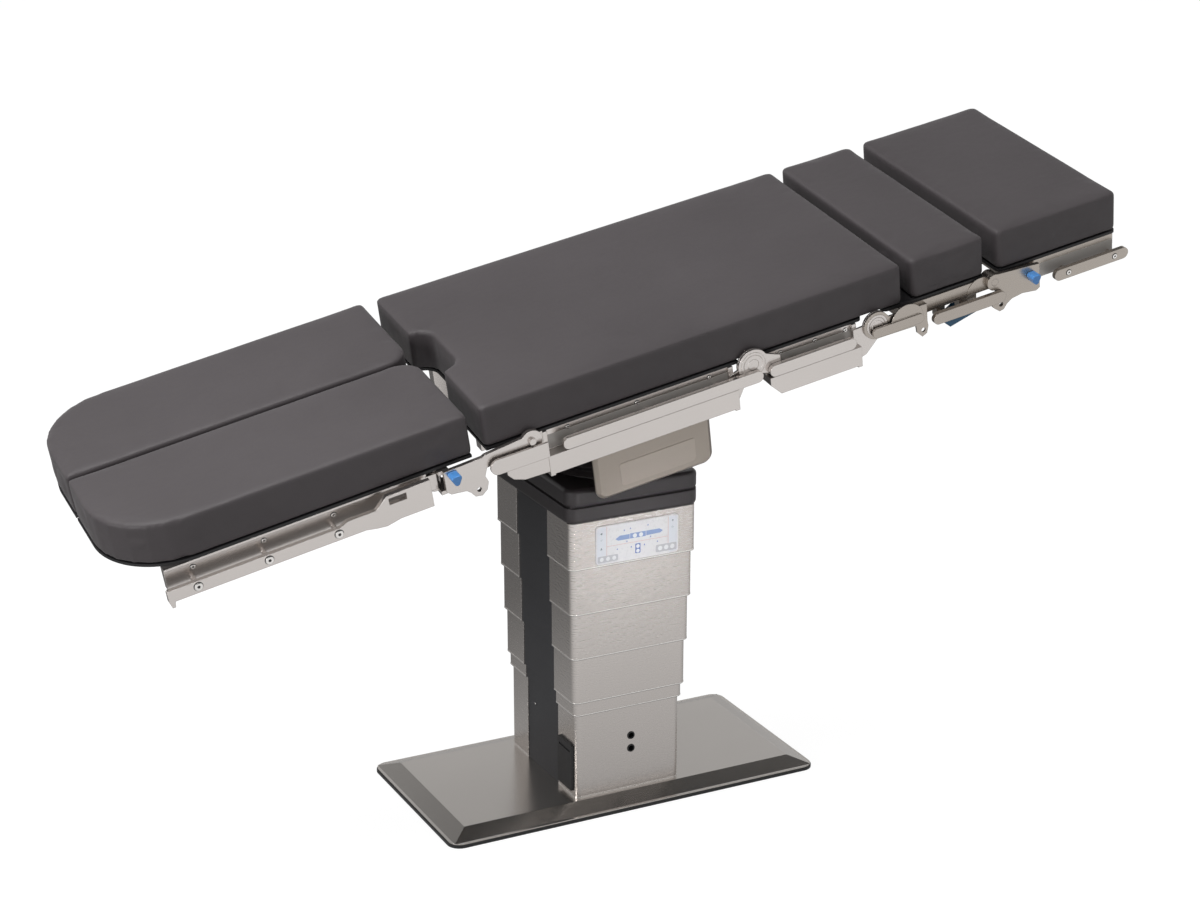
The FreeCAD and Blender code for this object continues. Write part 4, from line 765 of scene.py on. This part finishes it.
def studio_world():
    """White to the camera; a soft sky for the light, paler in front and above, dimmer to the foot side."""
    world = bpy.data.worlds.new("studio")
    bpy.context.scene.world = world
    world.use_nodes = True
    nodes, links = world.node_tree.nodes, world.node_tree.links
    nodes.clear()
    out = nodes.new("ShaderNodeOutputWorld")
    place = nodes.new("ShaderNodeTexCoord")
    parts = nodes.new("ShaderNodeSeparateXYZ")
    links.new(place.outputs["Generated"], parts.inputs[0])
    soft, mirrored, white = (nodes.new("ShaderNodeBackground") for _ in range(3))
    white.inputs["Color"].default_value = (1, 1, 1, 1)
    lift = nodes.new("ShaderNodeMapRange")
    lift.inputs["From Min"].default_value = -0.2
    lift.inputs["To Min"].default_value = 0.10
    lift.inputs["To Max"].default_value = 0.95
    links.new(parts.outputs["Z"], lift.inputs["Value"])
    links.new(lift.outputs[0], soft.inputs["Strength"])
    bands = nodes.new("ShaderNodeValToRGB")
    stops = ((0.0, 0.30), (0.12, 0.78), (0.40, 0.70), (0.62, 0.07), (0.86, 0.12), (1.0, 0.75))
    while len(bands.color_ramp.elements) < len(stops):
        bands.color_ramp.elements.new(0.5)
    for element, (height, level) in zip(bands.color_ramp.elements, stops):
        element.position = height
        element.color = (level, level, level, 1)
    links.new(parts.outputs["Z"], bands.inputs["Fac"])
    links.new(bands.outputs["Color"], mirrored.inputs["Color"])
    path = nodes.new("ShaderNodeLightPath")
    bounce, mix = nodes.new("ShaderNodeMixShader"), nodes.new("ShaderNodeMixShader")
    links.new(path.outputs["Is Glossy Ray"], bounce.inputs["Fac"])
    links.new(soft.outputs[0], bounce.inputs[1])
    links.new(mirrored.outputs[0], bounce.inputs[2])
    links.new(path.outputs["Is Camera Ray"], mix.inputs["Fac"])
    links.new(bounce.outputs[0], mix.inputs[1])
    links.new(white.outputs[0], mix.inputs[2])
    links.new(mix.outputs[0], out.inputs["Surface"])


def area_light(name, place, target, size, power):
    lamp = bpy.data.lights.new(name, "AREA")
    lamp.shape = "RECTANGLE"
    lamp.size, lamp.size_y = size
    lamp.energy = power
    obj = bpy.data.objects.new(name, lamp)
    bpy.context.collection.objects.link(obj)
    obj.location = place
    obj.rotation_euler = (Vector(target) - Vector(place)).to_track_quat("-Z", "Y").to_euler()
    return lamp


stage_floor()
studio_world()
area_light("key", (-1.8, 0.2, 4.2), (-0.4, 0, 1.0), (2.6, 2.6), 88)
area_light("foot", (-4.4, -1.4, 1.4), (-0.9, 0, 0.8), (1.8, 1.4), 55)
area_light("front", (1.4, -4.6, 1.2), (0.1, 0, 0.5), (2.4, 1.6), 8)
spot = area_light("panel", (0.25, -3.2, 0.30), (0.007, -0.18, 0.575), (0.25, 0.12), 0.13)
spot.spread = math.radians(9)

camera_data = bpy.data.cameras.new("camera")
camera_data.sensor_width = 36.0
camera_data.lens = 75.426
camera = bpy.data.objects.new("camera", camera_data)
bpy.context.collection.objects.link(camera)
camera.location = (-2.20966, -4.40533, 2.35365)
target = Vector((0.013956, 0.0, 0.719974))
camera.rotation_euler = (target - camera.location).to_track_quat("-Z", "Y").to_euler()
bpy.context.scene.camera = camera
bpy.context.scene.view_settings.view_transform = "Standard"
